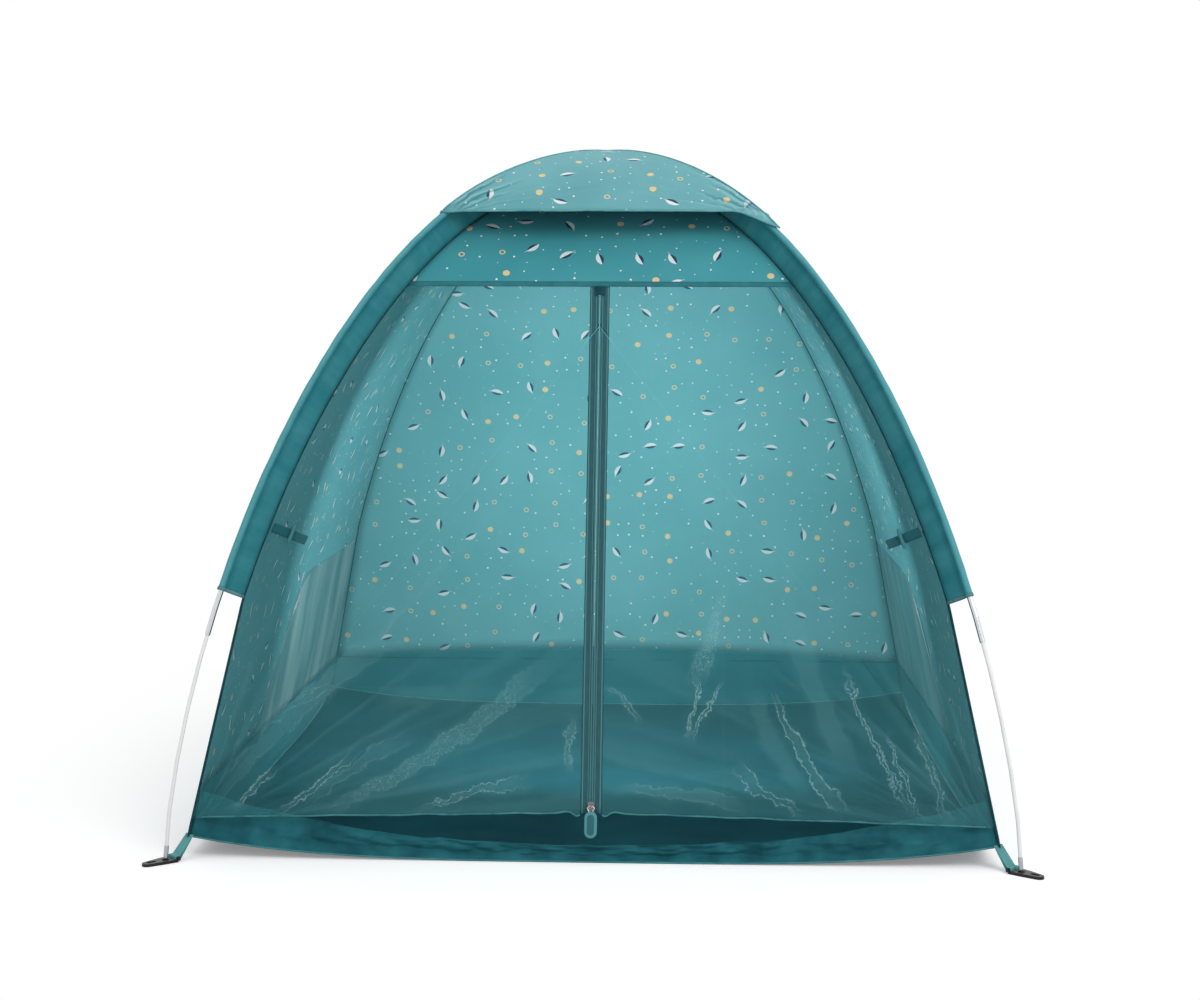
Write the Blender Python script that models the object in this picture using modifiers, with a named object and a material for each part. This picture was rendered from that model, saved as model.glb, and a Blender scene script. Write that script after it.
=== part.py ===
"""A children's net tent: a square dome on two crossing poles, with a bathtub floor, printed walls
and cap, and a net front that a central zip parts into two flaps.

Frame: metres, +Z up, the origin on the ground under the crossing of the poles. The front, with
the zip, faces -Y, and +X is on the right of someone who looks at it.
"""
import math

import bmesh
import bpy
from mathutils import Matrix, Vector

MM = 0.001
DEGREE = math.pi / 180
GRID_HALF_SHARE = 0.5
FULL_TURN = 2 * math.pi

# Shared clearances
GAP = 0.3 * MM                      # between pieces that touch
OVERRUN = 0.5 * MM                  # how far joined shapes reach into each other

# Poles
FLOOR_SPAN = 1225.2 * MM            # between opposite walls at the ground
FOOT_MARGIN = 56.2 * MM             # the pole feet stand further apart than the walls by this
FOOT_SPACING = FLOOR_SPAN + FOOT_MARGIN  # between neighbouring pole feet
ARCH_RISE = 1112.8 * MM             # ground to the axis of the upper pole at the crossing
SHOULDER_POWER = 2.024              # squareness of the arch at the ground
CROWN_POWER = 1.505                 # squareness of the arch at the top
SECTIONS_PER_POLE = 8
STATIONS_PER_SECTION = 5
POLE_RADIUS = 3.0 * MM
POLE_WALL = 1.2 * MM
SHOCK_CORD_RADIUS = 1.1 * MM
FERRULE_RADIUS = 4.2 * MM
FERRULE_WALL = 0.7 * MM
FERRULE_LENGTH = 80.0 * MM
FERRULE_CHAMFER = 1.2 * MM
CROSSING_CLEARANCE = 0.6 * MM
CROSSING_FADE_POWER = 4             # how fast the lower pole rejoins the arch away from the top
TIP_RADIUS = 3.6 * MM
TIP_LENGTH = 19.0 * MM
TIP_CHAMFER = 0.8 * MM
PIN_RADIUS = 2.0 * MM
PIN_LENGTH = 4.5 * MM

# Pole sleeves
SLEEVE_WIDTH = 41.9 * MM            # from the pole axis to the body seam
SLEEVE_FOOT_HEIGHT = 404.0 * MM
SLEEVE_RADIUS = 5.8 * MM            # outside of the fold round the pole
SLEEVE_CLOTH = 0.9 * MM
SLEEVE_LAYERS = 2.4 * MM            # both layers together, between the fold and the seam
SLEEVE_SEAM_DEPTH = 1.2 * MM        # how far the layers reach in between the wall edges
SLEEVE_FOLD_STEPS = 10
SLEEVE_CROWN_STATIONS = 3           # stations that the sleeve stops short of the crossing

# Body cloth
CLOTH = 0.9 * MM
NET = 0.8 * MM
CORNER_HEIGHT = 34.0 * MM           # where the walls start to lean in
CORNER_LIFT = 32.0 * MM             # the corner straps hold the floor corners off the ground
CORNER_LIFT_POWER = 3.5
TUB_HEIGHT = 100.0 * MM
LOWER_TRIM = 1.2 * MM               # panels stop short of the corner line at the ground by this
SEAM_TRIM = 2.4 * MM                # and by this where the sleeve's layers run in between them
FLOOR_STEPS = 12
TUB_STEPS = 12

# Front wall of the tub, which has slumped
LIP_LOW_HEIGHT = 25.0 * MM
LIP_RISE_POWER = 2.2
LIP_CLEARANCE = 1.6 * MM            # behind the door plane
LIP_LEAN_HEIGHT = 20.0 * MM         # the height over which it draws back to that plane

# Side windows, as seen on a side wall: distance behind the middle, and height
WINDOW_FOOT = (-212 * MM, 90 * MM)
WINDOW_SHOULDER = (-75 * MM, 290 * MM)
WINDOW_CORNER = (-30 * MM, 357 * MM)
WINDOW_TOP = (80 * MM, 358 * MM)
WINDOW_REAR = (700 * MM, 364 * MM)
WINDOW_ARC_STEPS = 6
WINDOW_CUT_DEPTH = 250.0 * MM

# Net front
DOOR_FOOT_HEIGHT = 74.0 * MM        # hem of the net at the zip
HEADER_DROP = 193.6763 * MM         # from the crown to the seam between header and net
HEM_DROP = 14.5 * MM                # the hem is lower at the corners than at the zip
HEM_CORNER_MARGIN = 4.0 * MM
ZIP_HEAD_LENGTH = 69.43 * MM        # from where the two folds meet up to the header
FOLD_CLEARANCE = 0.4 * MM
SIDE_NET_COLUMNS = 4

# Zip
TAPE_HALF_WIDTH = 16.0 * MM
CHAIN_SLOT = 0.7 * MM               # half of the slot that the slider's bridge runs in
CHAIN_HALF_WIDTH = 3.0 * MM
CHAIN_HEIGHT = 2.5 * MM
CHAIN_FOOT_MARGIN = 2.0 * MM
CHAIN_TOP_MARGIN = 4.0 * MM
STOP_HALF_WIDTH = 8.0 * MM
STOP_HEIGHT = 3.0 * MM
SLIDER_LENGTH = 14.0 * MM
SLIDER_HALF_WIDTH = 4.8 * MM
SLIDER_WAIST = 3.9 * MM
SLIDER_PLATE = 1.2 * MM
SLIDER_CLEARANCE = 0.4 * MM
SLIDER_FLANGE = 1.2 * MM
SLIDER_FLANGE_GAP = 0.6 * MM
BRIDGE_HALF_WIDTH = 0.35 * MM
BRIDGE_LENGTH = 4.0 * MM
BAIL_HALF_WIDTH = 1.4 * MM
BAIL_REACH = 4.2 * MM
BAIL_LEG = 1.6 * MM
BAIL_HEIGHT = 3.7 * MM
BAIL_TOP = 1.0 * MM
SLIDER_REST_REACH = 10.0 * MM       # up the zip from its foot to the slider's middle
SLIDER_TOP_MARGIN = 23.43 * MM      # between the slider's middle and the header, zip open
LINK_RADIUS = 0.6 * MM
LINK_LIFT = 1.4 * MM                # above the slider's upper plate
LINK_HALF_WIDTH = 3.2 * MM
LINK_LENGTH = 11.5 * MM
PULL_TOP = 7.8 * MM                 # from the link's hinge to the pull's upper end
PULL_LENGTH = 40.0 * MM
PULL_HALF_WIDTH = 9.5 * MM
PULL_THICKNESS = 3.0 * MM
PULL_CORNER = 5.0 * MM
PULL_RECESS_MARGIN = 4.0 * MM
PULL_RECESS_DEPTH = 0.6 * MM
PULL_RECESS_TOP = 17.0 * MM         # from the hinge to the recess

# Tie-backs on the front seams
TIE_HEIGHT = 495.0 * MM
TIE_SEAM_MARGIN = 5.0 * MM
TIE_SLOPE = 24 * DEGREE
TIE_START = 1.2 * MM
TIE_LENGTH = 36.0 * MM
TIE_HALF_WIDTH = 7.0 * MM
TIE_CLOTH = 1.2 * MM
TIE_LIFT = 0.6 * MM
TIE_STEPS = 3
TOGGLE_REACH = 30.0 * MM
TOGGLE_LENGTH = 32.0 * MM
TOGGLE_RADIUS = 3.4 * MM
TOGGLE_WAIST = 2.6 * MM
TOGGLE_SHOULDER_SHARE = 0.6
TOGGLE_END_SHARE = 0.55
LOOP_LENGTH = 55.0 * MM

# Header, crown and cap
CROWN_PATCH_LAP = 3.0 * MM
CROWN_PATCH_LIFT = 0.4 * MM
CAP_CLOTH = 1.0 * MM
CAP_LIFT = 7.5 * MM                 # from the pole axis to the underside of the cap's ridge
CAP_CORNER_SPREAD = 257.5 * MM      # half the distance between neighbouring cap corners
CAP_BRIM_BULGE = 22.0 * MM
CAP_SIDE_STEPS = 6
CAP_TOP_SHARE = 0.97                # of the way up to the crossing, where the cap's slope ends

# Anchor plates and corner straps, measured outward along the diagonal from the pole pin
PLATE_THICKNESS = 4.5 * MM
PLATE_INNER_END = 18.0 * MM
PLATE_NOSE_CENTRE = 30.5 * MM
PLATE_NOSE_RADIUS = 8.0 * MM
PLATE_HALF_WIDTH = 14.0 * MM
PLATE_WAIST_REACH = 6.0 * MM
PLATE_WAIST_HALF_WIDTH = 12.0 * MM
PIN_HOLE_RADIUS = 3.0 * MM
COLLAR_RADIUS = 5.6 * MM
COLLAR_HEIGHT = 1.2 * MM
PEG_SLOT_START = 16.0 * MM
PEG_SLOT_END = 32.0 * MM
PEG_SLOT_HALF_WIDTH = 3.5 * MM
STRAP_BAR_WIDTH = 4.5 * MM
STRAP_BAR_BOTTOM = 2.2 * MM
STRAP_BAR_TOP = 7.0 * MM
STRAP_SLOT_WIDTH = 4.6 * MM
STRAP_SLOT_HALF_LENGTH = 11.0 * MM
STRAP_HALF_WIDTH = 10.0 * MM
STRAP_THICKNESS = 1.1 * MM
STRAP_CLEARANCE = 0.45 * MM
STRAP_CORNER_GAP = 0.5 * MM
STRAP_END_SPREAD = 2.6 * MM         # between the two layers' middles at the floor corner
ROUND_STEPS = 12


def srgb(red, green, blue):
    """A display colour out of 255 as the linear colour that a shader takes."""
    def linear(level):
        share = level / 255
        if share <= 0.04045:
            return share / 12.92
        return ((share + 0.055) / 1.055) ** 2.4
    return linear(red), linear(green), linear(blue), 1.0


FINISHES = {
    "sleeve_cloth": (srgb(41, 112, 122), 0.75, 0.0),
    "tub_cloth": (srgb(36, 98, 110), 0.7, 0.0),
    "printed_cloth": (srgb(88, 152, 158), 0.8, 0.0),
    "net_cloth": (srgb(92, 140, 146), 0.85, 0.0),
    "webbing": (srgb(96, 172, 172), 0.8, 0.0),
    "zip_tape": (srgb(50, 104, 112), 0.8, 0.0),
    "zip_coil": (srgb(30, 74, 82), 0.45, 0.0),
    "slider_metal": (srgb(200, 182, 172), 0.3, 1.0),
    "pull_rubber": (srgb(60, 140, 150), 0.55, 0.0),
    "plate_plastic": (srgb(24, 24, 26), 0.35, 0.0),
    "pole_fibreglass": (srgb(238, 238, 236), 0.35, 0.0),
    "pole_steel": (srgb(198, 200, 204), 0.3, 1.0),
    "shock_cord": (srgb(225, 225, 222), 0.8, 0.0),
}

# The four corners, as the turn about +Z from +X to the corner's diagonal
CORNERS = {
    "front_left": 225 * DEGREE,
    "front_right": 315 * DEGREE,
    "rear_right": 45 * DEGREE,
    "rear_left": 135 * DEGREE,
}
# The four walls, as the turn about +Z from the front wall
FRONT_TURN, RIGHT_TURN, REAR_TURN, LEFT_TURN = (quarter * 90 * DEGREE for quarter in range(4))


def clear_scene():
    for thing in list(bpy.data.objects):
        bpy.data.objects.remove(thing, do_unlink=True)


def new_collection(name):
    collection = bpy.data.collections.new(name)
    bpy.context.scene.collection.children.link(collection)
    return collection


clear_scene()
TENT = new_collection("net_tent")
CUTTERS = new_collection("net_tent_cutters")


def finish(name):
    """The shared material of that name, made at its first use."""
    made = bpy.data.materials.get(name)
    if made:
        return made
    colour, roughness, metallic = FINISHES[name]
    made = bpy.data.materials.new(name)
    made.use_nodes = True
    shader = made.node_tree.nodes["Principled BSDF"]
    shader.inputs["Base Color"].default_value = colour
    shader.inputs["Roughness"].default_value = roughness
    shader.inputs["Metallic"].default_value = metallic
    made.diffuse_color = colour
    return made


def add_object(name, data, material, matrix=None):
    made = bpy.data.objects.new(name, data)
    TENT.objects.link(made)
    data.materials.append(finish(material))
    if matrix is not None:
        made.matrix_world = matrix
    return made


def make_cutter(thing):
    """Turns a finished shape into a tool for a Boolean, out of the model."""
    TENT.objects.unlink(thing)
    CUTTERS.objects.link(thing)
    thing.hide_render = True
    thing.display_type = "WIRE"
    return thing


def combine(thing, tool, operation):
    boolean = thing.modifiers.new(operation.title(), "BOOLEAN")
    boolean.operation = operation
    boolean.solver = "EXACT"
    boolean.object = make_cutter(tool)


def as_mesh(thing):
    """Replaces a curve object by its mesh, with the loose caps joined."""
    bpy.context.view_layer.update()
    evaluated = thing.evaluated_get(bpy.context.evaluated_depsgraph_get())
    mesh = bpy.data.meshes.new_from_object(evaluated)
    shape = bmesh.new()
    shape.from_mesh(mesh)
    bmesh.ops.remove_doubles(shape, verts=shape.verts, dist=GAP / ROUND_STEPS)
    bmesh.ops.recalc_face_normals(shape, faces=shape.faces)
    shape.to_mesh(mesh)
    shape.free()
    name, matrix = thing.name, thing.matrix_world.copy()
    bpy.data.objects.remove(thing, do_unlink=True)
    made = bpy.data.objects.new(name, mesh)
    TENT.objects.link(made)
    made.matrix_world = matrix
    return made


def sheet(name, rows, columns, place, outside, thickness, material):
    """A shaped sheet of cloth. place gives the outer face from two shares, outside points out of it."""
    shape = bmesh.new()
    bmesh.ops.create_grid(shape, x_segments=rows, y_segments=columns, size=GRID_HALF_SHARE)
    for vertex in shape.verts:
        vertex.co = place(vertex.co.x + GRID_HALF_SHARE, vertex.co.y + GRID_HALF_SHARE)
    shape.normal_update()
    facing = sum((face.normal * face.calc_area() for face in shape.faces), Vector())
    if facing.dot(Vector(outside)) < 0:
        bmesh.ops.reverse_faces(shape, faces=shape.faces)
    mesh = bpy.data.meshes.new(name)
    shape.to_mesh(mesh)
    shape.free()
    made = add_object(name, mesh, material)
    thicken(made, thickness)
    return made


def thicken(thing, thickness):
    solid = thing.modifiers.new("Thickness", "SOLIDIFY")
    solid.thickness = thickness
    solid.offset = -1
    solid.use_even_offset = True
    solid.use_rim = True


def curve_data(name, lines, cyclic, dimensions="3D"):
    data = bpy.data.curves.new(name, "CURVE")
    data.dimensions = dimensions
    data.resolution_u = 1
    data.render_resolution_u = 0
    for line in lines:
        spline = data.splines.new("POLY")
        spline.points.add(len(line) - 1)
        for point, place in zip(spline.points, line):
            point.co = (*Vector(place).to_3d(), 1)
        spline.use_cyclic_u = cyclic
    return data


def plate(name, outlines, low, high, matrix, material):
    """A flat piece between two levels of its own frame, from an outline and any holes in it."""
    data = curve_data(name, outlines, True, "2D")
    data.fill_mode = "BOTH"
    data.extrude = (high - low) / 2
    return add_object(name, data, material, matrix @ Matrix.Translation((0, 0, (high + low) / 2)))


def rod(name, line, radius, material, cyclic=False, resolution=2, matrix=None):
    data = curve_data(name, [line], cyclic)
    data.bevel_depth = radius
    data.bevel_resolution = resolution
    data.use_fill_caps = not cyclic
    return add_object(name, data, material, matrix)


def tube(name, line, radius, wall, material, radii=None):
    """A hollow rod along a line, open at both ends. radii are shares of the radius at each point."""
    data = curve_data(name, [line], False)
    data.bevel_depth = radius
    data.bevel_resolution = 2
    data.use_fill_caps = False
    for point, share in zip(data.splines[0].points, radii or []):
        point.radius = share
    made = add_object(name, data, material)
    made = as_mesh(made)
    made.data.materials.append(finish(material))
    middle = Vector(line[0])
    face = min(made.data.polygons, key=lambda candidate: (candidate.center - middle).length)
    if face.normal.dot(face.center - middle) < 0:
        made.data.flip_normals()
    made.data.shade_smooth()
    thicken(made, wall)
    return made


def box(name, low, high, matrix, material):
    shape = bmesh.new()
    bmesh.ops.create_cube(shape, size=1)
    low, high = Vector(low), Vector(high)
    for vertex in shape.verts:
        vertex.co = low + Vector(
            (high[i] - low[i]) * (vertex.co[i] + GRID_HALF_SHARE) for i in range(3)
        )
    mesh = bpy.data.meshes.new(name)
    shape.to_mesh(mesh)
    shape.free()
    return add_object(name, mesh, material, matrix)


def turned(name, profile, matrix, material):
    """A round piece on its own Z axis, from the radius and height of each point, top to bottom."""
    mesh = bpy.data.meshes.new(name)
    points = [(radius, 0, height) for radius, height in profile]
    edges = [(i, i + 1) for i in range(len(points) - 1)]
    mesh.from_pydata(points, edges, [])
    made = add_object(name, mesh, material, matrix)
    screw = made.modifiers.new("Turn", "SCREW")
    screw.steps = screw.render_steps = ROUND_STEPS
    screw.use_merge_vertices = True
    screw.merge_threshold = GAP / ROUND_STEPS
    screw.use_smooth_shade = False
    return made


def circle(radius, steps, centre=(0, 0), start=0.0, sweep=FULL_TURN):
    closed = sweep == FULL_TURN
    count = steps if closed else steps + 1
    return [
        (
            centre[0] + radius * math.cos(start + sweep * i / steps),
            centre[1] + radius * math.sin(start + sweep * i / steps),
        )
        for i in range(count)
    ]


def rounded_box(x_low, x_high, y_low, y_high, corner, steps):
    outline = []
    centres = [(x_high - corner, y_high - corner), (x_low + corner, y_high - corner)]
    centres += [(x_low + corner, y_low + corner), (x_high - corner, y_low + corner)]
    for quarter, centre in enumerate(centres):
        outline += circle(corner, steps, centre, quarter * FULL_TURN / 4, FULL_TURN / 4)
    return outline


def mix(low, high, share):
    return low + (high - low) * share


def hold(share):
    return max(0, min(1, share))


# Arch of the poles, in the upright plane through two opposite feet: distance out and height

def arch_point(angle):
    spread = FOOT_SPACING / 2 * math.cos(angle) ** (2 / SHOULDER_POWER)
    height = ARCH_RISE * math.sin(angle) ** (2 / CROWN_POWER)
    return Vector((spread * math.sqrt(2), height))


def arch_stations():
    """Points evenly spaced along the arch, from a foot to the crossing."""
    samples = 4000
    fine = [arch_point(math.pi / 2 * i / samples) for i in range(samples)]
    fine.append(Vector((0, ARCH_RISE)))
    lengths = [0]
    for before, after in zip(fine, fine[1:]):
        lengths.append(lengths[-1] + (after - before).length)
    count = SECTIONS_PER_POLE * STATIONS_PER_SECTION // 2
    stations, reached = [], 0
    for station in range(count + 1):
        wanted = lengths[-1] * station / count
        while reached < samples and lengths[reached + 1] < wanted:
            reached += 1
        if reached == samples:
            stations.append(fine[-1])
            continue
        share = (wanted - lengths[reached]) / (lengths[reached + 1] - lengths[reached])
        stations.append(mix(fine[reached], fine[reached + 1], share))
    return stations, lengths[-1] / count


UPPER_POLE, STATION_LENGTH = arch_stations()
CROSSING = len(UPPER_POLE) - 1
CROSSING_DROP = 2 * FERRULE_RADIUS + CROSSING_CLEARANCE
LOWER_POLE = [
    point - Vector((0, CROSSING_DROP * (i / CROSSING) ** CROSSING_FADE_POWER))
    for i, point in enumerate(UPPER_POLE)
]


def at_station(line, station):
    """A point of a station line, also between two stations."""
    before = min(int(station), len(line) - 2)
    return mix(line[before], line[before + 1], station - before)


def inward(station):
    """Unit direction from the upper pole towards the body, square to the pole."""
    before = UPPER_POLE[max(station - 1, 0)]
    after = UPPER_POLE[station + 1] if station < CROSSING else UPPER_POLE[station] - Vector(
        (STATION_LENGTH, 0)
    )
    run = (after - before).normalized()
    return Vector((-run.y, run.x))


SEAM = [UPPER_POLE[i] + inward(i) * SLEEVE_WIDTH for i in range(CROSSING + 1)]
SLEEVE_FOOT_STATION = next(
    i + (SLEEVE_FOOT_HEIGHT - UPPER_POLE[i].y) / (UPPER_POLE[i + 1].y - UPPER_POLE[i].y)
    for i in range(CROSSING)
    if UPPER_POLE[i + 1].y > SLEEVE_FOOT_HEIGHT
)
SLEEVE_TOP_STATION = CROSSING - SLEEVE_CROWN_STATIONS

# Half-width of the body at each height: a straight lower corner, then along the sleeve's seam
BODY_PROFILE = [(CORNER_HEIGHT, FLOOR_SPAN / 2)]
for place in [at_station(SEAM, SLEEVE_FOOT_STATION)] + SEAM[math.ceil(SLEEVE_FOOT_STATION):-1]:
    BODY_PROFILE.append((place.y, place.x / math.sqrt(2)))
BODY_TOP, CROWN_HALF_WIDTH = BODY_PROFILE[-1]
HEADER_HEIGHT = BODY_TOP - HEADER_DROP


def half_width(height):
    if height <= BODY_PROFILE[0][0]:
        return BODY_PROFILE[0][1]
    for (low, wide), (high, narrow) in zip(BODY_PROFILE, BODY_PROFILE[1:]):
        if height <= high:
            return mix(wide, narrow, (height - low) / (high - low))
    return BODY_PROFILE[-1][1]


def panel_spread(height):
    """Half-width of a wall panel, whose edge stops short of the corner line."""
    foot, sleeve_foot = BODY_PROFILE[0][0], BODY_PROFILE[1][0]
    trim = mix(LOWER_TRIM, SEAM_TRIM, hold((height - foot) / (sleeve_foot - foot)))
    if height > SEAM[SLEEVE_TOP_STATION].y:
        trim = LOWER_TRIM
    return half_width(height) - trim


def levels_between(low, high, extra=()):
    inner = [level for level, _ in BODY_PROFILE if low < level < high]
    return sorted([low, high, *inner, *extra])


def at_level(levels, share):
    return levels[round(share * (len(levels) - 1))]


def turned_about_z(angle):
    return Matrix.Rotation(angle, 4, "Z")


# Plane of the net door: X across, Y up the zip from its foot, Z out of the tent

DOOR_FOOT = Vector((0, -half_width(DOOR_FOOT_HEIGHT), DOOR_FOOT_HEIGHT))
DOOR_HEAD = Vector((0, -half_width(HEADER_HEIGHT), HEADER_HEIGHT))
DOOR_LENGTH = (DOOR_HEAD - DOOR_FOOT).length
ZIP_UP = (DOOR_HEAD - DOOR_FOOT).normalized()
ACROSS = Vector((1, 0, 0))
OUT_OF_DOOR = ACROSS.cross(ZIP_UP)
DOOR_TURN = Matrix((ACROSS, ZIP_UP, OUT_OF_DOOR)).transposed().to_4x4()
DOOR_FRAME = Matrix.Translation(DOOR_FOOT) @ DOOR_TURN
FOLD_TOP_REACH = DOOR_LENGTH - ZIP_HEAD_LENGTH
SLIDER_TOP_REACH = DOOR_LENGTH - SLIDER_TOP_MARGIN
FOLD_FOOT_REACH = -HEM_DROP
FOLD_FOOT_HEIGHT = DOOR_FOOT_HEIGHT + FOLD_FOOT_REACH * ZIP_UP.z
FOLD_FOOT_SPREAD = half_width(FOLD_FOOT_HEIGHT) - HEM_CORNER_MARGIN


def door_y(height):
    return DOOR_FOOT.y + (height - DOOR_FOOT_HEIGHT) * ZIP_UP.y / ZIP_UP.z


def reach_at(height):
    return (height - DOOR_FOOT_HEIGHT) / ZIP_UP.z


def fold_spread(reach):
    """Distance of the fold line from the zip, at a reach up the door."""
    share = (FOLD_TOP_REACH - reach) / (FOLD_TOP_REACH - FOLD_FOOT_REACH)
    return FOLD_FOOT_SPREAD * share


def fold_reach(spread):
    return mix(FOLD_TOP_REACH, FOLD_FOOT_REACH, spread / FOLD_FOOT_SPREAD)


def hem_reach(spread):
    return FOLD_FOOT_REACH * spread / FOLD_FOOT_SPREAD


def sag(share):
    """Share of the fixed net's fullness, over straight steps between its columns."""
    step = 1 / SIDE_NET_COLUMNS
    before = min(math.floor(share / step), SIDE_NET_COLUMNS - 1) * step
    return mix(before ** 2, (before + step) ** 2, (share - before) / step)


def side_net_point(side, spread, height, lift=0.0):
    """A point on the outer face of the net that stays fixed, lifted out of it by lift."""
    def surface(at_spread, at_height):
        inner = max(fold_spread(reach_at(at_height)), TAPE_HALF_WIDTH)
        outer = half_width(at_height)
        slack = outer + door_y(at_height)
        share = max(at_spread - inner, 0) / (outer - inner)
        return Vector((side * at_spread, door_y(at_height) - slack * sag(share), at_height))
    here = surface(spread, height)
    along = surface(spread + OVERRUN, height) - here
    up = surface(spread, height + OVERRUN) - here
    normal = up.cross(along).normalized() * side
    return here - normal * lift if normal.y > 0 else here + normal * lift


def empty(name, matrix, parent=None):
    made = bpy.data.objects.new(name, None)
    TENT.objects.link(made)
    made.matrix_world = matrix
    if parent:
        made.parent = parent
        made.matrix_parent_inverse = parent.matrix_world.inverted()
    return made


def carry(parent, *pieces):
    bpy.context.view_layer.update()
    for piece in pieces:
        piece.parent = parent
        piece.matrix_parent_inverse = parent.matrix_world.inverted()


# Poles

def diagonal(angle, point):
    """A point of the arch's plane, distance out and height, at the corner with that turn."""
    return Vector((math.cos(angle) * point[0], math.sin(angle) * point[0], point[1]))


def pole_line(stations, start, end):
    """Points of a whole pole, from its front foot at station 0 over the crossing to its rear foot."""
    count = 2 * CROSSING

    def whole(station):
        if station <= CROSSING:
            return at_station(stations, station)
        mirrored = at_station(stations, count - station)
        return Vector((-mirrored.x, mirrored.y))
    marks = [start]
    marks += [mark for mark in range(count + 1) if start < mark < end]
    return marks + [end], whole


def pole(name, stations, front_angle):
    end_station = STATIONS_PER_SECTION
    far_station = 2 * CROSSING - STATIONS_PER_SECTION
    foot_station = (PLATE_THICKNESS + COLLAR_HEIGHT + TIP_LENGTH + 3 * GAP) / STATION_LENGTH
    butt = GAP / 2 / STATION_LENGTH
    sleeve_half = FERRULE_LENGTH / 2 / STATION_LENGTH
    chamfer = FERRULE_CHAMFER / STATION_LENGTH

    def points(start, end):
        marks, whole = pole_line(stations, start, end)
        return [diagonal(front_angle, whole(mark)) for mark in marks]

    ends = {"front": (foot_station, end_station - butt)}
    ends["rear"] = (far_station + butt, 2 * CROSSING - foot_station)
    for place, (start, end) in ends.items():
        tube(f"{name}_{place}_section", points(start, end), POLE_RADIUS, POLE_WALL,
             "pole_fibreglass")
    for place, middle in (("front", end_station), ("rear", far_station)):
        tube(f"{name}_{place}_ferrule", points(middle - sleeve_half, middle + sleeve_half),
             FERRULE_RADIUS, FERRULE_WALL, "pole_steel")

    marks, whole = pole_line(stations, end_station + butt, far_station - butt)
    raised = FERRULE_RADIUS / POLE_RADIUS
    steps = [(mark, 1) for mark in marks]
    for joint in range(2 * end_station, far_station, end_station):
        steps.remove((joint, 1))
        steps += [(joint - sleeve_half - chamfer, 1), (joint - sleeve_half, raised), (joint, raised)]
        steps += [(joint + sleeve_half, raised), (joint + sleeve_half + chamfer, 1)]
    steps.sort()
    tube(f"{name}_arch_sections", [diagonal(front_angle, whole(mark)) for mark, _ in steps],
         POLE_RADIUS, POLE_WALL, "pole_fibreglass", [share for _, share in steps])
    rod(f"{name}_shock_cord", points(foot_station, 2 * CROSSING - foot_station),
        SHOCK_CORD_RADIUS, "shock_cord", resolution=1)


def pole_tip(corner, angle):
    """The metal end of a pole, whose pin stands in the anchor plate."""
    foot, first = (diagonal(angle, UPPER_POLE[i]) for i in range(2))
    lean = (first - foot).to_track_quat("Z", "Y").to_matrix().to_4x4()
    seat = PLATE_THICKNESS + COLLAR_HEIGHT + 2 * GAP
    profile = [(0, seat + TIP_LENGTH), (TIP_RADIUS - TIP_CHAMFER, seat + TIP_LENGTH)]
    profile += [(TIP_RADIUS, seat + TIP_LENGTH - TIP_CHAMFER), (TIP_RADIUS, seat + TIP_CHAMFER)]
    profile += [(TIP_RADIUS - TIP_CHAMFER, seat), (PIN_RADIUS, seat)]
    profile += [(PIN_RADIUS, seat - PIN_LENGTH), (0, seat - PIN_LENGTH)]
    turned(f"pole_tip_{corner}", profile, Matrix.Translation(foot) @ lean, "pole_steel")


def pole_sleeve(corner, angle, stations):
    """A strip of cloth folded round the pole, whose two layers run in to the body seam."""
    marks = [SLEEVE_FOOT_STATION]
    marks += list(range(math.ceil(SLEEVE_FOOT_STATION), SLEEVE_TOP_STATION + 1))
    sideways = Vector((-math.sin(angle), math.cos(angle), 0))
    half_layers = SLEEVE_LAYERS / 2
    opening = math.asin(half_layers / SLEEVE_RADIUS)

    def place(u, v):
        mark = marks[round(u * (len(marks) - 1))]
        centre = diagonal(angle, at_station(stations, mark))
        seam = diagonal(angle, at_station(SEAM, mark))
        width = (seam - centre).length + SLEEVE_SEAM_DEPTH
        towards = (seam - centre).normalized()
        column = round(v * (SLEEVE_FOLD_STEPS + 2))
        if column in (0, SLEEVE_FOLD_STEPS + 2):
            side = 1 if column == 0 else -1
            return centre + towards * width + sideways * half_layers * side
        turn = mix(opening, FULL_TURN - opening, (column - 1) / SLEEVE_FOLD_STEPS)
        return (centre + towards * SLEEVE_RADIUS * math.cos(turn)
                + sideways * SLEEVE_RADIUS * math.sin(turn))

    made = sheet(f"pole_sleeve_{corner}", len(marks) - 1, SLEEVE_FOLD_STEPS + 2, place,
                 diagonal(angle, (1, 1)), SLEEVE_CLOTH, "sleeve_cloth")
    made.data.shade_smooth()


# Anchor plates and corner straps

def anchor_frame(angle):
    return Matrix.Translation(diagonal(angle, (UPPER_POLE[0].x, 0))) @ turned_about_z(angle)


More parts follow.
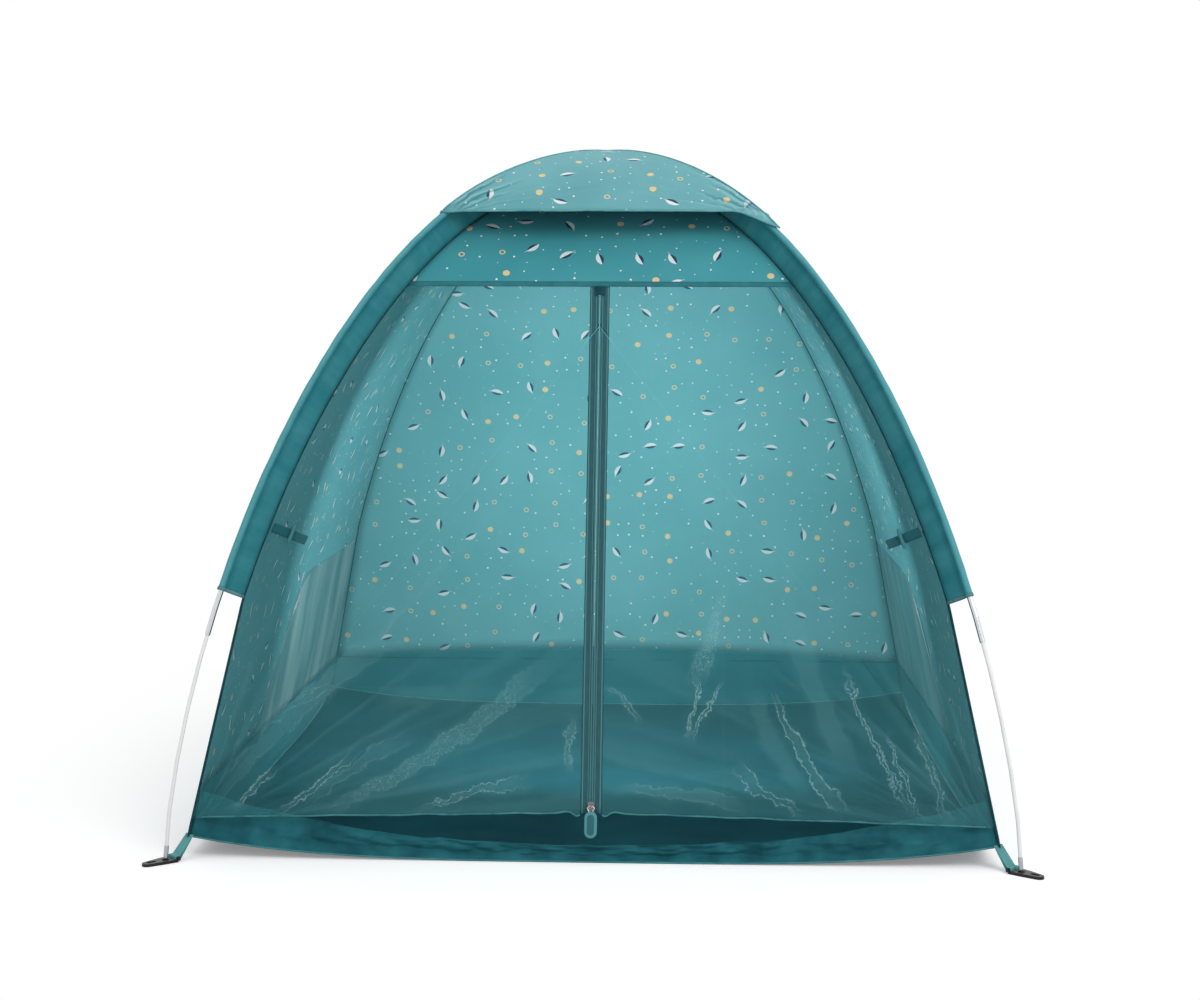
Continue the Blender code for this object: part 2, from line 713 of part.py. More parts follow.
def anchor_plate(corner, angle):
    frame = anchor_frame(angle)
    bar_outer = -PLATE_INNER_END + STRAP_BAR_WIDTH
    slot_outer = bar_outer + STRAP_SLOT_WIDTH
    nose = circle(PLATE_NOSE_RADIUS, ROUND_STEPS // 2, (PLATE_NOSE_CENTRE, 0), -FULL_TURN / 4,
                  FULL_TURN / 2)
    outline = [(bar_outer - OVERRUN, -PLATE_HALF_WIDTH)]
    outline += [(PLATE_WAIST_REACH, -PLATE_WAIST_HALF_WIDTH)] + nose
    outline += [(PLATE_WAIST_REACH, PLATE_WAIST_HALF_WIDTH)]
    outline += [(bar_outer - OVERRUN, PLATE_HALF_WIDTH)]
    outline += [(bar_outer - OVERRUN, STRAP_SLOT_HALF_LENGTH), (slot_outer, STRAP_SLOT_HALF_LENGTH)]
    outline += [(slot_outer, -STRAP_SLOT_HALF_LENGTH)]
    outline += [(bar_outer - OVERRUN, -STRAP_SLOT_HALF_LENGTH)]
    pin_hole = circle(PIN_HOLE_RADIUS, ROUND_STEPS)
    peg_slot = rounded_box(PEG_SLOT_START, PEG_SLOT_END, -PEG_SLOT_HALF_WIDTH,
                           PEG_SLOT_HALF_WIDTH, PEG_SLOT_HALF_WIDTH, ROUND_STEPS // 4)
    name = f"anchor_plate_{corner}"
    made = as_mesh(plate(name, [outline, pin_hole, peg_slot], 0, PLATE_THICKNESS, frame,
                         "plate_plastic"))
    made.data.materials.append(finish("plate_plastic"))
    collar = plate(f"{name}_collar", [circle(COLLAR_RADIUS, ROUND_STEPS), pin_hole],
                   PLATE_THICKNESS - OVERRUN, PLATE_THICKNESS + COLLAR_HEIGHT, frame,
                   "plate_plastic")
    combine(made, as_mesh(collar), "UNION")
    bar = box(f"{name}_bar", (-PLATE_INNER_END, -PLATE_HALF_WIDTH, STRAP_BAR_BOTTOM),
              (bar_outer, PLATE_HALF_WIDTH, STRAP_BAR_TOP), frame, "plate_plastic")
    combine(made, bar, "UNION")


def ribbon(name, line, half_width_of_strap, thickness, matrix, material):
    """A strap bent along a line of distance out and height, level across its width."""
    def place(u, v):
        out, height = line[round(u * (len(line) - 1))]
        return matrix @ Vector((out, mix(-half_width_of_strap, half_width_of_strap, v), height))
    made = sheet(name, len(line) - 1, 1, place, (0, 0, 0), thickness, material)
    made.modifiers["Thickness"].offset = 0
    return made


def corner_strap(corner, angle):
    """Webbing sewn to the floor corner, round the plate's bar and back."""
    off = STRAP_CLEARANCE + STRAP_THICKNESS / 2
    inner = -PLATE_INNER_END
    outer = inner + STRAP_BAR_WIDTH
    top, bottom = STRAP_BAR_TOP + off, STRAP_BAR_BOTTOM - off
    sewn_out = FLOOR_SPAN / 2 * math.sqrt(2) + STRAP_CORNER_GAP - UPPER_POLE[0].x
    sewn_height = CORNER_LIFT
    line = [(sewn_out, sewn_height + STRAP_END_SPREAD / 2), (inner - off, top)]
    line += [(outer + off / 2, top), (outer + off, top - off / 2)]
    line += [(outer + off, bottom + off / 2), (outer + off / 2, bottom), (inner - off, bottom)]
    line += [(sewn_out, sewn_height - STRAP_END_SPREAD / 2)]
    ribbon(f"corner_strap_{corner}", line, STRAP_HALF_WIDTH, STRAP_THICKNESS,
           anchor_frame(angle), "webbing")


# Bathtub floor

def edge_lift(share):
    """Height of the floor's edge, from 0 at the middle of a side to its lifted corner."""
    return CORNER_LIFT * abs(share) ** CORNER_LIFT_POWER


def ground_sheet():
    reach = FLOOR_SPAN / 2 - CLOTH - GAP

    def place(u, v):
        x, y = mix(-1, 1, u), mix(-1, 1, v)
        return Vector((reach * x, reach * y, edge_lift(x) * abs(y) ** CORNER_LIFT_POWER))
    sheet("ground_sheet", FLOOR_STEPS, FLOOR_STEPS, place, (0, 0, -1), CLOTH, "tub_cloth")


def tub_wall(name, turn, top, wall_y):
    """One side of the tub. top gives its height, and wall_y how far out it stands at a height."""
    rise_shares = [0, 0.35, 0.7, 1]
    out = turned_about_z(turn)

    def place(u, v):
        share = mix(-1, 1, v)
        height = mix(edge_lift(share), top(share), rise_shares[round(u * (len(rise_shares) - 1))])
        x = share * panel_spread(height)
        return out @ Vector((x, -wall_y(height), height))
    sheet(name, len(rise_shares) - 1, TUB_STEPS, place, out @ Vector((0, -1, 0)), CLOTH,
          "tub_cloth")


def lip_top(share):
    return mix(LIP_LOW_HEIGHT, TUB_HEIGHT - GAP / 2, abs(share) ** LIP_RISE_POWER)


def lip_y(height):
    """The front wall of the tub leans back behind the door above the floor's edge."""
    lean = hold((height - CORNER_HEIGHT) / LIP_LEAN_HEIGHT)
    behind_net = min(half_width(height), -door_y(height)) - LIP_CLEARANCE
    return mix(half_width(height), behind_net, lean)


def tub():
    ground_sheet()
    def level_top(share):
        return TUB_HEIGHT - GAP / 2
    tub_wall("tub_wall_left", LEFT_TURN, level_top, half_width)
    tub_wall("tub_wall_right", RIGHT_TURN, level_top, half_width)
    tub_wall("tub_wall_rear", REAR_TURN, level_top, half_width)
    tub_wall("tub_wall_front", FRONT_TURN, lip_top, lip_y)


# Walls

def wall_sheet(name, turn, low, high, thickness, material):
    levels = levels_between(low, high)
    out = turned_about_z(turn)

    def place(u, v):
        height = at_level(levels, u)
        spread = panel_spread(height)
        return out @ Vector((mix(-spread, spread, v), -half_width(height), height))
    return sheet(name, len(levels) - 1, 1, place, out @ Vector((0, -1, 0)), thickness, material)


def window_outline(side, margin):
    """The window seen from its own side, drawn in by margin, as distance behind the middle and
    height."""
    outline = [(WINDOW_FOOT[0] + margin, WINDOW_FOOT[1])]
    for i in range(WINDOW_ARC_STEPS + 1):
        share = i / WINDOW_ARC_STEPS
        point = [
            mix(mix(start, corner, share), mix(corner, end, share), share)
            for start, corner, end in zip(WINDOW_SHOULDER, WINDOW_CORNER, WINDOW_TOP)
        ]
        outline.append((point[0] + margin, point[1] - margin))
    outline.append((WINDOW_REAR[0], WINDOW_REAR[1] - margin))
    outline.append((WINDOW_REAR[0], WINDOW_FOOT[1]))
    return outline


def window_block(name, side, margin):
    """A solid block through a side wall, with the window's outline."""
    upright = Matrix((Vector((0, 0, 1)), Vector((1, 0, 0)), Vector((0, 1, 0)))).to_4x4()
    middle = Matrix.Translation((side * FLOOR_SPAN / 2, 0, 0)) @ upright
    block = plate(name, [window_outline(side, margin)], -WINDOW_CUT_DEPTH / 2,
                  WINDOW_CUT_DEPTH / 2, middle, "printed_cloth")
    return as_mesh(block)


def side_wall(name, side, turn):
    low = TUB_HEIGHT + GAP / 2
    wall = wall_sheet(f"wall_{name}", turn, low, BODY_TOP, CLOTH, "printed_cloth")
    combine(wall, window_block(f"window_cut_{name}", side, 0), "DIFFERENCE")
    window = wall_sheet(f"window_net_{name}", turn, low, HEADER_HEIGHT, NET, "net_cloth")
    combine(window, window_block(f"window_keep_{name}", side, GAP), "INTERSECT")


def walls():
    side_wall("left", -1, LEFT_TURN)
    side_wall("right", 1, RIGHT_TURN)
    wall_sheet("wall_rear", REAR_TURN, TUB_HEIGHT + GAP / 2, BODY_TOP, CLOTH, "printed_cloth")
    wall_sheet("front_header", FRONT_TURN, HEADER_HEIGHT + GAP / 2, BODY_TOP, CLOTH,
               "printed_cloth")
    reach = CROWN_HALF_WIDTH + CROWN_PATCH_LAP
    square = [(-reach, -reach), (reach, -reach), (reach, reach), (-reach, reach)]
    low = BODY_TOP + CROWN_PATCH_LIFT
    plate("crown_patch", [square], low, low + CLOTH, Matrix(), "printed_cloth")


def roof_cap():
    """Four-sided cap over the crossing, with a straight brim between its corners."""
    brim = next(
        i + (at.x - CAP_CORNER_SPREAD * math.sqrt(2)) / (at.x - after.x)
        for i, (at, after) in enumerate(zip(UPPER_POLE, UPPER_POLE[1:]))
        if after.x < CAP_CORNER_SPREAD * math.sqrt(2)
    )
    marks = [brim] + list(range(math.ceil(brim), CROSSING)) + [CROSSING * CAP_TOP_SHARE]
    around = 4 * CAP_SIDE_STEPS

    def ridge(mark):
        before = int(mark)
        after = min(before + 1, CROSSING)
        normal = mix(inward(before), inward(after), mark - before).normalized()
        return at_station(UPPER_POLE, mark) - normal * (CAP_LIFT + CAP_CLOTH)

    def place(u, v):
        row = round(u * (len(marks) - 1))
        point = ridge(marks[row])
        side, step = divmod(round(v * around) % around, CAP_SIDE_STEPS)
        spread = point.x / math.sqrt(2)
        across = mix(-1, 1, step / CAP_SIDE_STEPS)
        bulge = CAP_BRIM_BULGE * (1 - across ** 2) * (1 - row / (len(marks) - 1)) ** 2
        flat = Vector((spread * across, -spread - bulge, point.y))
        return turned_about_z(side * FULL_TURN / 4) @ flat

    made = sheet("roof_cap", len(marks) - 1, around, place, (0, 0, 1), CAP_CLOTH,
                 "printed_cloth")
    shape = bmesh.new()
    shape.from_mesh(made.data)
    bmesh.ops.remove_doubles(shape, verts=shape.verts, dist=GAP)
    top = max(vertex.co.z for vertex in shape.verts)
    rim = [edge for edge in shape.edges
           if edge.is_boundary and min(vertex.co.z for vertex in edge.verts) > top - GAP]
    bmesh.ops.holes_fill(shape, edges=rim, sides=len(rim))
    bmesh.ops.recalc_face_normals(shape, faces=shape.faces)
    if sum(face.normal.z * face.calc_area() for face in shape.faces) < 0:
        bmesh.ops.reverse_faces(shape, faces=shape.faces)
    shape.to_mesh(made.data)
    shape.free()


# Net front

def side_net(name, side):
    """The net between a fold, the front seam and the header, which stays when the door opens."""
    low = FOLD_FOOT_HEIGHT
    head_start = DOOR_FOOT_HEIGHT + fold_reach(TAPE_HALF_WIDTH + FOLD_CLEARANCE) * ZIP_UP.z
    levels = levels_between(low, HEADER_HEIGHT - GAP / 2, [TUB_HEIGHT, head_start])

    def place(u, v):
        height = at_level(levels, u)
        inner = max(fold_spread(reach_at(height)) + FOLD_CLEARANCE, TAPE_HALF_WIDTH + GAP)
        outer = panel_spread(height)
        return side_net_point(side, mix(inner, outer, v), height)
    sheet(f"side_net_{name}", len(levels) - 1, SIDE_NET_COLUMNS, place, (0, -1, 0), NET,
          "net_cloth")


def hinge_matrix(side):
    return Matrix.Translation(DOOR_FRAME @ Vector((side * FOLD_FOOT_SPREAD, FOLD_FOOT_REACH, 0))
                              ) @ DOOR_TURN


def door_flap(name, side):
    """Half of the door: its net, zip tape and chain, on the fold line that it turns about."""
    hinge = empty(f"door_{name}_fold", hinge_matrix(side))

    def outline(points):
        return [(side * spread, reach) for spread, reach in points]
    net_start = TAPE_HALF_WIDTH + GAP
    net_end = FOLD_FOOT_SPREAD - HEM_CORNER_MARGIN
    net = plate(f"door_net_{name}", [outline([
        (net_start, hem_reach(net_start)),
        (net_end, hem_reach(net_end)),
        (net_end, fold_reach(net_end + FOLD_CLEARANCE)),
        (net_start, fold_reach(net_start + FOLD_CLEARANCE)),
    ])], -NET, 0, DOOR_FRAME, "net_cloth")
    tape = plate(f"zip_tape_{name}", [outline([
        (CHAIN_SLOT, 0),
        (TAPE_HALF_WIDTH, 0),
        (TAPE_HALF_WIDTH, fold_reach(TAPE_HALF_WIDTH + FOLD_CLEARANCE)),
        (CHAIN_SLOT, fold_reach(CHAIN_SLOT + FOLD_CLEARANCE)),
    ])], -CLOTH, 0, DOOR_FRAME, "zip_tape")
    chain = plate(f"zip_coil_{name}", [outline([
        (CHAIN_SLOT, CHAIN_FOOT_MARGIN),
        (CHAIN_HALF_WIDTH, CHAIN_FOOT_MARGIN),
        (CHAIN_HALF_WIDTH, fold_reach(CHAIN_HALF_WIDTH) - CHAIN_TOP_MARGIN),
        (CHAIN_SLOT, fold_reach(CHAIN_HALF_WIDTH) - CHAIN_TOP_MARGIN),
    ])], GAP, CHAIN_HEIGHT, DOOR_FRAME, "zip_coil")
    carry(hinge, net, tape, chain)


def zip_head():
    """The top of the zip, sewn to the header: tape, chain and end stop."""
    start = fold_reach(-FOLD_CLEARANCE)
    edge_start = fold_reach(TAPE_HALF_WIDTH - FOLD_CLEARANCE)
    slot_start = fold_reach(CHAIN_SLOT - FOLD_CLEARANCE)
    slot_end = SLIDER_TOP_REACH + SLIDER_LENGTH / 2
    end = DOOR_LENGTH - GAP / 2
    outline = [(-TAPE_HALF_WIDTH, edge_start), (-CHAIN_SLOT, slot_start), (-CHAIN_SLOT, slot_end)]
    outline += [(CHAIN_SLOT, slot_end), (CHAIN_SLOT, slot_start), (TAPE_HALF_WIDTH, edge_start)]
    outline += [(TAPE_HALF_WIDTH, end), (-TAPE_HALF_WIDTH, end)]
    made = as_mesh(plate("zip_head", [outline], -CLOTH, 0, DOOR_FRAME, "zip_tape"))
    made.data.materials.append(finish("zip_tape"))
    for side in (-1, 1):
        near, far = sorted((side * CHAIN_SLOT, side * CHAIN_HALF_WIDTH))
        ridge = box(f"zip_head_chain_{'left' if side < 0 else 'right'}",
                    (near, start + CHAIN_TOP_MARGIN, -CLOTH / 2),
                    (far, slot_end + OVERRUN, CHAIN_HEIGHT), DOOR_FRAME, "zip_coil")
        combine(made, ridge, "UNION")
    stop = box("zip_head_stop", (-STOP_HALF_WIDTH, slot_end, -CLOTH / 2),
               (STOP_HALF_WIDTH, end - OVERRUN, STOP_HEIGHT), DOOR_FRAME, "zip_tape")
    combine(made, stop, "UNION")


def slider_outline():
    """Plan of a slider plate: broad ends and a drawn-in waist."""
    half = SLIDER_LENGTH / 2
    wide, waist = SLIDER_HALF_WIDTH, SLIDER_WAIST
    corner = SLIDER_FLANGE
    side = [(waist, half), (wide, half - corner), (wide, -half + corner), (waist, -half)]
    return side + [(-x, y) for x, y in reversed(side)]


def zip_slider():
    slide = empty("zip_slide", DOOR_FRAME @ Matrix.Translation((0, SLIDER_REST_REACH, 0)))
    frame = slide.matrix_world.copy()
    upper_low = CHAIN_HEIGHT + SLIDER_CLEARANCE
    upper_high = upper_low + SLIDER_PLATE
    lower_high = -CLOTH - SLIDER_CLEARANCE
    lower_low = lower_high - SLIDER_PLATE
    metal = "slider_metal"
    body = as_mesh(plate("zip_slider", [slider_outline()], upper_low, upper_high, frame, metal))
    body.data.materials.append(finish(metal))
    combine(body, as_mesh(plate("zip_slider_lower", [slider_outline()], lower_low, lower_high,
                                frame, metal)), "UNION")
    foot = -SLIDER_LENGTH / 2
    bridge = box("zip_slider_bridge",
                 (-BRIDGE_HALF_WIDTH, foot + OVERRUN, lower_high - OVERRUN),
                 (BRIDGE_HALF_WIDTH, foot + BRIDGE_LENGTH, upper_low + OVERRUN), frame, metal)
    combine(body, bridge, "UNION")
    for side in (-1, 1):
        near, far = sorted((side * (SLIDER_HALF_WIDTH - SLIDER_FLANGE),
                            side * (SLIDER_HALF_WIDTH - GAP)))
        flange = box(f"zip_slider_flange_{'left' if side < 0 else 'right'}",
                     (near, foot + 2 * SLIDER_FLANGE, SLIDER_FLANGE_GAP),
                     (far, -foot - 2 * SLIDER_FLANGE, upper_low + OVERRUN), frame, metal)
        combine(body, flange, "UNION")
        low, high = sorted((side * (BAIL_REACH - BAIL_LEG), side * BAIL_REACH))
        leg = box(f"zip_slider_leg_{'lower' if side < 0 else 'upper'}",
                  (-BAIL_HALF_WIDTH, low, upper_high - OVERRUN),
                  (BAIL_HALF_WIDTH, high, upper_high + BAIL_HEIGHT - OVERRUN), frame, metal)
        combine(body, leg, "UNION")
    bail = box("zip_slider_bail",
               (-BAIL_HALF_WIDTH + GAP, -BAIL_REACH - GAP, upper_high + BAIL_HEIGHT - BAIL_TOP),
               (BAIL_HALF_WIDTH - GAP, BAIL_REACH + GAP, upper_high + BAIL_HEIGHT), frame, metal)
    combine(body, bail, "UNION")
    carry(slide, body)

    hinge = empty("pull_hinge", frame @ Matrix.Translation((0, 0, upper_high + LINK_LIFT)), slide)
    swing = hinge.matrix_world.copy()
    link_line = [(-LINK_HALF_WIDTH, 0, 0), (LINK_HALF_WIDTH, 0, 0)]
    link_line += [(LINK_HALF_WIDTH, -LINK_LENGTH, 0), (-LINK_HALF_WIDTH, -LINK_LENGTH, 0)]
    link = rod("pull_link", link_line, LINK_RADIUS, metal, cyclic=True, matrix=swing)
    outline = rounded_box(-PULL_HALF_WIDTH, PULL_HALF_WIDTH, -PULL_TOP - PULL_LENGTH, -PULL_TOP,
                          PULL_CORNER, ROUND_STEPS // 3)
    half = PULL_THICKNESS / 2
    tab = as_mesh(plate("pull_tab", [outline], -half, half, swing, "pull_rubber"))
    tab.data.materials.append(finish("pull_rubber"))
    socket = rod("pull_tab_socket", link_line, LINK_RADIUS + GAP, metal, cyclic=True,
                 matrix=swing)
    combine(tab, as_mesh(socket), "DIFFERENCE")
    inset = PULL_RECESS_MARGIN
    recess = rounded_box(-PULL_HALF_WIDTH + inset, PULL_HALF_WIDTH - inset,
                         -PULL_TOP - PULL_LENGTH + inset, -PULL_RECESS_TOP,
                         PULL_CORNER - inset / 2, ROUND_STEPS // 4)
    combine(tab, as_mesh(plate("pull_tab_recess", [recess], half - PULL_RECESS_DEPTH,
                               half + OVERRUN, swing, "pull_rubber")), "DIFFERENCE")
    carry(hinge, link, tab)


# Tie-backs

def tie_point(side, run, across, lift):
    """A point beside the front seam: run along the strap, across it, and out of the net."""
    along = Vector((-math.cos(TIE_SLOPE), -math.sin(TIE_SLOPE)))
    square = Vector((math.sin(TIE_SLOPE), -math.cos(TIE_SLOPE)))
    start = Vector((half_width(TIE_HEIGHT) - TIE_SEAM_MARGIN, TIE_HEIGHT))
    spot = start + along * run + square * across
    return side_net_point(side, spot.x, spot.y, lift)


def tie_back(name, side):
    def strap_place(length, lift):
        def place(u, v):
            run = mix(TIE_START, length, u)
            return tie_point(side, run, mix(-TIE_HALF_WIDTH, TIE_HALF_WIDTH, v), lift)
        return place

    root = tie_point(side, 0, 0, TIE_LIFT)
    along = (tie_point(side, TIE_LENGTH, 0, TIE_LIFT) - root).normalized()
    rough_up = tie_point(side, 0, -TIE_HALF_WIDTH, TIE_LIFT) - root
    outward = rough_up.cross(along)
    outward = (outward if outward.y < 0 else -outward).normalized()
    sideways = outward.cross(along)
    frame = Matrix((along, sideways, outward)).transposed().to_4x4()
    hinge = empty(f"tie_{name}_seam", Matrix.Translation(root) @ frame)

    strap = sheet(f"tie_strap_{name}", TIE_STEPS, 1, strap_place(TIE_LENGTH, TIE_LIFT + TIE_CLOTH),
                  (0, -1, 0), TIE_CLOTH, "webbing")
    sheet(f"tie_loop_{name}", TIE_STEPS, 1, strap_place(LOOP_LENGTH, -NET - TIE_LIFT),
          (0, -1, 0), TIE_CLOTH, "sleeve_cloth")
    shoulder = TOGGLE_LENGTH / 2 * TOGGLE_SHOULDER_SHARE
    end = TOGGLE_LENGTH / 2
    profile = [(0, end), (TOGGLE_RADIUS * TOGGLE_END_SHARE, end), (TOGGLE_RADIUS, shoulder)]
    profile += [(TOGGLE_WAIST, 0), (TOGGLE_RADIUS, -shoulder)]
    profile += [(TOGGLE_RADIUS * TOGGLE_END_SHARE, -end), (0, -end)]
    toggle_lift = TIE_LIFT + TIE_CLOTH + 2 * GAP + TOGGLE_RADIUS
    seat = tie_point(side, TOGGLE_REACH, 0, toggle_lift)
    lying = frame @ Matrix.Rotation(FULL_TURN / 4, 4, "X")
    toggle = turned(f"tie_toggle_{name}", profile, Matrix.Translation(seat) @ lying, "webbing")
    carry(hinge, strap, toggle)


def build():
    for name, stations, corner in (
        ("pole_a", UPPER_POLE, "front_left"),
        ("pole_b", LOWER_POLE, "front_right"),
    ):
        pole(name, stations, CORNERS[corner])
    for corner, angle in CORNERS.items():
        upper = corner in ("front_left", "rear_right")
        pole_sleeve(corner, angle, UPPER_POLE if upper else LOWER_POLE)
        pole_tip(corner, angle)
        anchor_plate(corner, angle)
        corner_strap(corner, angle)
    tub()
    walls()
    roof_cap()
    for name, side in (("left", -1), ("right", 1)):
        side_net(name, side)
        door_flap(name, side)
        tie_back(name, side)
    zip_head()
    zip_slider()


build()
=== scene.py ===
"""Final looks of the net tent: cloth with its folds, print, seams and see-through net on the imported
model's frame, in metres, +Z up, with the front towards -Y.
"""
import math

import bmesh
import bpy
from mathutils import Matrix, Vector, noise


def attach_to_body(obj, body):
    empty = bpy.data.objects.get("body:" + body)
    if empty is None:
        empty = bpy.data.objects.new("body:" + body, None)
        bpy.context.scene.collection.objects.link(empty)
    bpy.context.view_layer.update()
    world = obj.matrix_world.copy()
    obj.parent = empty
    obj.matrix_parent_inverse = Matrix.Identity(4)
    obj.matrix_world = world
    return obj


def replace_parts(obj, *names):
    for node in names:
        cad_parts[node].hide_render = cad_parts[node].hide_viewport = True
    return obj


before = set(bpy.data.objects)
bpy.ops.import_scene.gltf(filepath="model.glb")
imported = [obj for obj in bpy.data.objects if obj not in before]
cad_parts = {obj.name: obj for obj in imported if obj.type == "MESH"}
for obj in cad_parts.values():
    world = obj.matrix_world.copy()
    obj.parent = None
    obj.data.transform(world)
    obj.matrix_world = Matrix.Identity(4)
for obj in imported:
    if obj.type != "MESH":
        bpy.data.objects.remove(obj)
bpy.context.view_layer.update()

MM = 0.001
DEGREE = math.pi / 180
FULL_TURN = 2 * math.pi

# Shape of the tent, as in the part's source
FOOT_SPACING = 1281.4 * MM
ARCH_RISE = 1112.8 * MM
SHOULDER_POWER = 2.024
CROWN_POWER = 1.505
ARCH_SAMPLES = 4000
STATIONS = 60                       # along half a pole
CAD_STATIONS = 20
CROSSING_DROP = 9.0 * MM
CROSSING_FADE_POWER = 4
SLEEVE_WIDTH = 41.9 * MM
SLEEVE_FOOT_HEIGHT = 404.0 * MM
SLEEVE_RADIUS = 5.8 * MM
SLEEVE_END_SHARE = 0.853            # of the way from the foot to the crossing
FLOOR_SPAN = 1225.2 * MM
CORNER_HEIGHT = 34.0 * MM
CORNER_LIFT = 32.0 * MM
CORNER_LIFT_POWER = 3.5
TUB_HEIGHT = 100.0 * MM
LIP_LOW_HEIGHT = 25.0 * MM
LIP_RISE_POWER = 2.2
LIP_CLEARANCE = 1.6 * MM
LIP_LEAN_HEIGHT = 20.0 * MM
DOOR_FOOT_HEIGHT = 74.0 * MM
HEADER_HEIGHT = 872.5 * MM
HEM_DROP = 14.5 * MM
HEM_CORNER_MARGIN = 4.0 * MM
FOLD_TOP_REACH = 780.0 * MM
SIDE_NET_COLUMNS = 4
TAPE_HALF_WIDTH = 16.0 * MM
CHAIN_SLOT = 0.7 * MM
WINDOW_FOOT = (-212 * MM, 90 * MM)
WINDOW_SHOULDER = (-75 * MM, 290 * MM)
WINDOW_CORNER = (-30 * MM, 357 * MM)
WINDOW_TOP = (80 * MM, 358 * MM)
WINDOW_REAR = (700 * MM, 364 * MM)
WINDOW_CUT_DEPTH = 250.0 * MM
CORNERS = {
    "front_left": 225 * DEGREE,
    "front_right": 315 * DEGREE,
    "rear_right": 45 * DEGREE,
    "rear_left": 135 * DEGREE,
}
FRONT_TURN, RIGHT_TURN, REAR_TURN, LEFT_TURN = (quarter * 90 * DEGREE for quarter in range(4))
SIDES = (("left", -1), ("right", 1))

# Cloth
CLOTH = 0.6 * MM
SEAM_GAP = 0.4 * MM


def mix(low, high, share):
    return low + (high - low) * share


def hold(share):
    return max(0.0, min(1.0, share))


def smooth(share):
    share = hold(share)
    return share * share * (3 - 2 * share)


def steps(count):
    return [i / count for i in range(count + 1)]


# Lines of the tent

def arch_point(angle):
    spread = FOOT_SPACING / 2 * math.cos(angle) ** (2 / SHOULDER_POWER)
    height = ARCH_RISE * math.sin(angle) ** (2 / CROWN_POWER)
    return Vector((spread * math.sqrt(2), height))


def arch_stations(count):
    """Points evenly spaced along the arch, from a foot to the crossing, and its length."""
    fine = [arch_point(math.pi / 2 * i / ARCH_SAMPLES) for i in range(ARCH_SAMPLES)]
    fine.append(Vector((0, ARCH_RISE)))
    lengths = [0]
    for before, after in zip(fine, fine[1:]):
        lengths.append(lengths[-1] + (after - before).length)
    stations, reached = [], 0
    for station in range(count + 1):
        wanted = lengths[-1] * station / count
        while reached < ARCH_SAMPLES and lengths[reached + 1] < wanted:
            reached += 1
        if reached == ARCH_SAMPLES:
            stations.append(fine[-1])
            continue
        share = (wanted - lengths[reached]) / (lengths[reached + 1] - lengths[reached])
        stations.append(mix(fine[reached], fine[reached + 1], share))
    return stations, lengths[-1]


UPPER_POLE, ARCH_LENGTH = arch_stations(STATIONS)
LOWER_POLE = [
    point - Vector((0, CROSSING_DROP * (i / STATIONS) ** CROSSING_FADE_POWER))
    for i, point in enumerate(UPPER_POLE)
]


def on_line(line, share):
    at = hold(share) * (len(line) - 1)
    before = min(int(at), len(line) - 2)
    return mix(line[before], line[before + 1], at - before)


def inward(share):
    step = 1 / STATIONS
    run = on_line(UPPER_POLE, share + step / 2) - on_line(UPPER_POLE, share - step / 2)
    run = run.normalized()
    return Vector((-run.y, run.x))


def share_at_height(line, height):
    for i, (before, after) in enumerate(zip(line, line[1:])):
        if after.y >= height:
            return (i + (height - before.y) / (after.y - before.y)) / (len(line) - 1)
    return 1.0


SEAM = [UPPER_POLE[i] + inward(i / STATIONS) * SLEEVE_WIDTH for i in range(STATIONS + 1)]
SLEEVE_FOOT_SHARE = share_at_height(UPPER_POLE, SLEEVE_FOOT_HEIGHT)
TOP_SHARE = 1 - 1 / CAD_STATIONS + 1e-6
BODY_PROFILE = [(CORNER_HEIGHT, FLOOR_SPAN / 2)] + [
    (point.y, point.x / math.sqrt(2)) for point in [on_line(SEAM, SLEEVE_FOOT_SHARE)] + [
        SEAM[i] for i in range(math.ceil(SLEEVE_FOOT_SHARE * STATIONS), STATIONS)
        if i / STATIONS <= TOP_SHARE]]
BODY_TOP, CROWN_HALF_WIDTH = BODY_PROFILE[-1]


def half_width(height):
    """Half the width of the tent's body at a height."""
    if height <= BODY_PROFILE[0][0]:
        return BODY_PROFILE[0][1]
    for (low, wide), (high, narrow) in zip(BODY_PROFILE, BODY_PROFILE[1:]):
        if height <= high:
            return mix(wide, narrow, (height - low) / (high - low))
    return BODY_PROFILE[-1][1]


def run_lengths(line):
    """Distance along a line at each of its points."""
    lengths = [0.0]
    for before, after in zip(line, line[1:]):
        lengths.append(lengths[-1] + (after - before).length)
    return lengths


def profile_length(height, count=40):
    """Distance up the slope of a wall from the ground."""
    return run_lengths([Vector((half_width(height * i / count), height * i / count))
                        for i in range(count + 1)])[-1]


def turned_about_z(angle):
    return Matrix.Rotation(angle, 4, "Z")


def diagonal(angle, point):
    return Vector((math.cos(angle) * point[0], math.sin(angle) * point[0], point[1]))


DOOR_FOOT = Vector((0, -half_width(DOOR_FOOT_HEIGHT), DOOR_FOOT_HEIGHT))
DOOR_HEAD = Vector((0, -half_width(HEADER_HEIGHT), HEADER_HEIGHT))
DOOR_LENGTH = (DOOR_HEAD - DOOR_FOOT).length
ZIP_UP = (DOOR_HEAD - DOOR_FOOT).normalized()
ACROSS = Vector((1, 0, 0))
OUT_OF_DOOR = ACROSS.cross(ZIP_UP)
DOOR_TURN = Matrix((ACROSS, ZIP_UP, OUT_OF_DOOR)).transposed().to_4x4()
DOOR_FRAME = Matrix.Translation(DOOR_FOOT) @ DOOR_TURN
SLIDER_TOP_REACH = 826.0 * MM
FOLD_FOOT_REACH = -HEM_DROP
FOLD_FOOT_HEIGHT = DOOR_FOOT_HEIGHT + FOLD_FOOT_REACH * ZIP_UP.z
FOLD_FOOT_SPREAD = half_width(FOLD_FOOT_HEIGHT) - HEM_CORNER_MARGIN


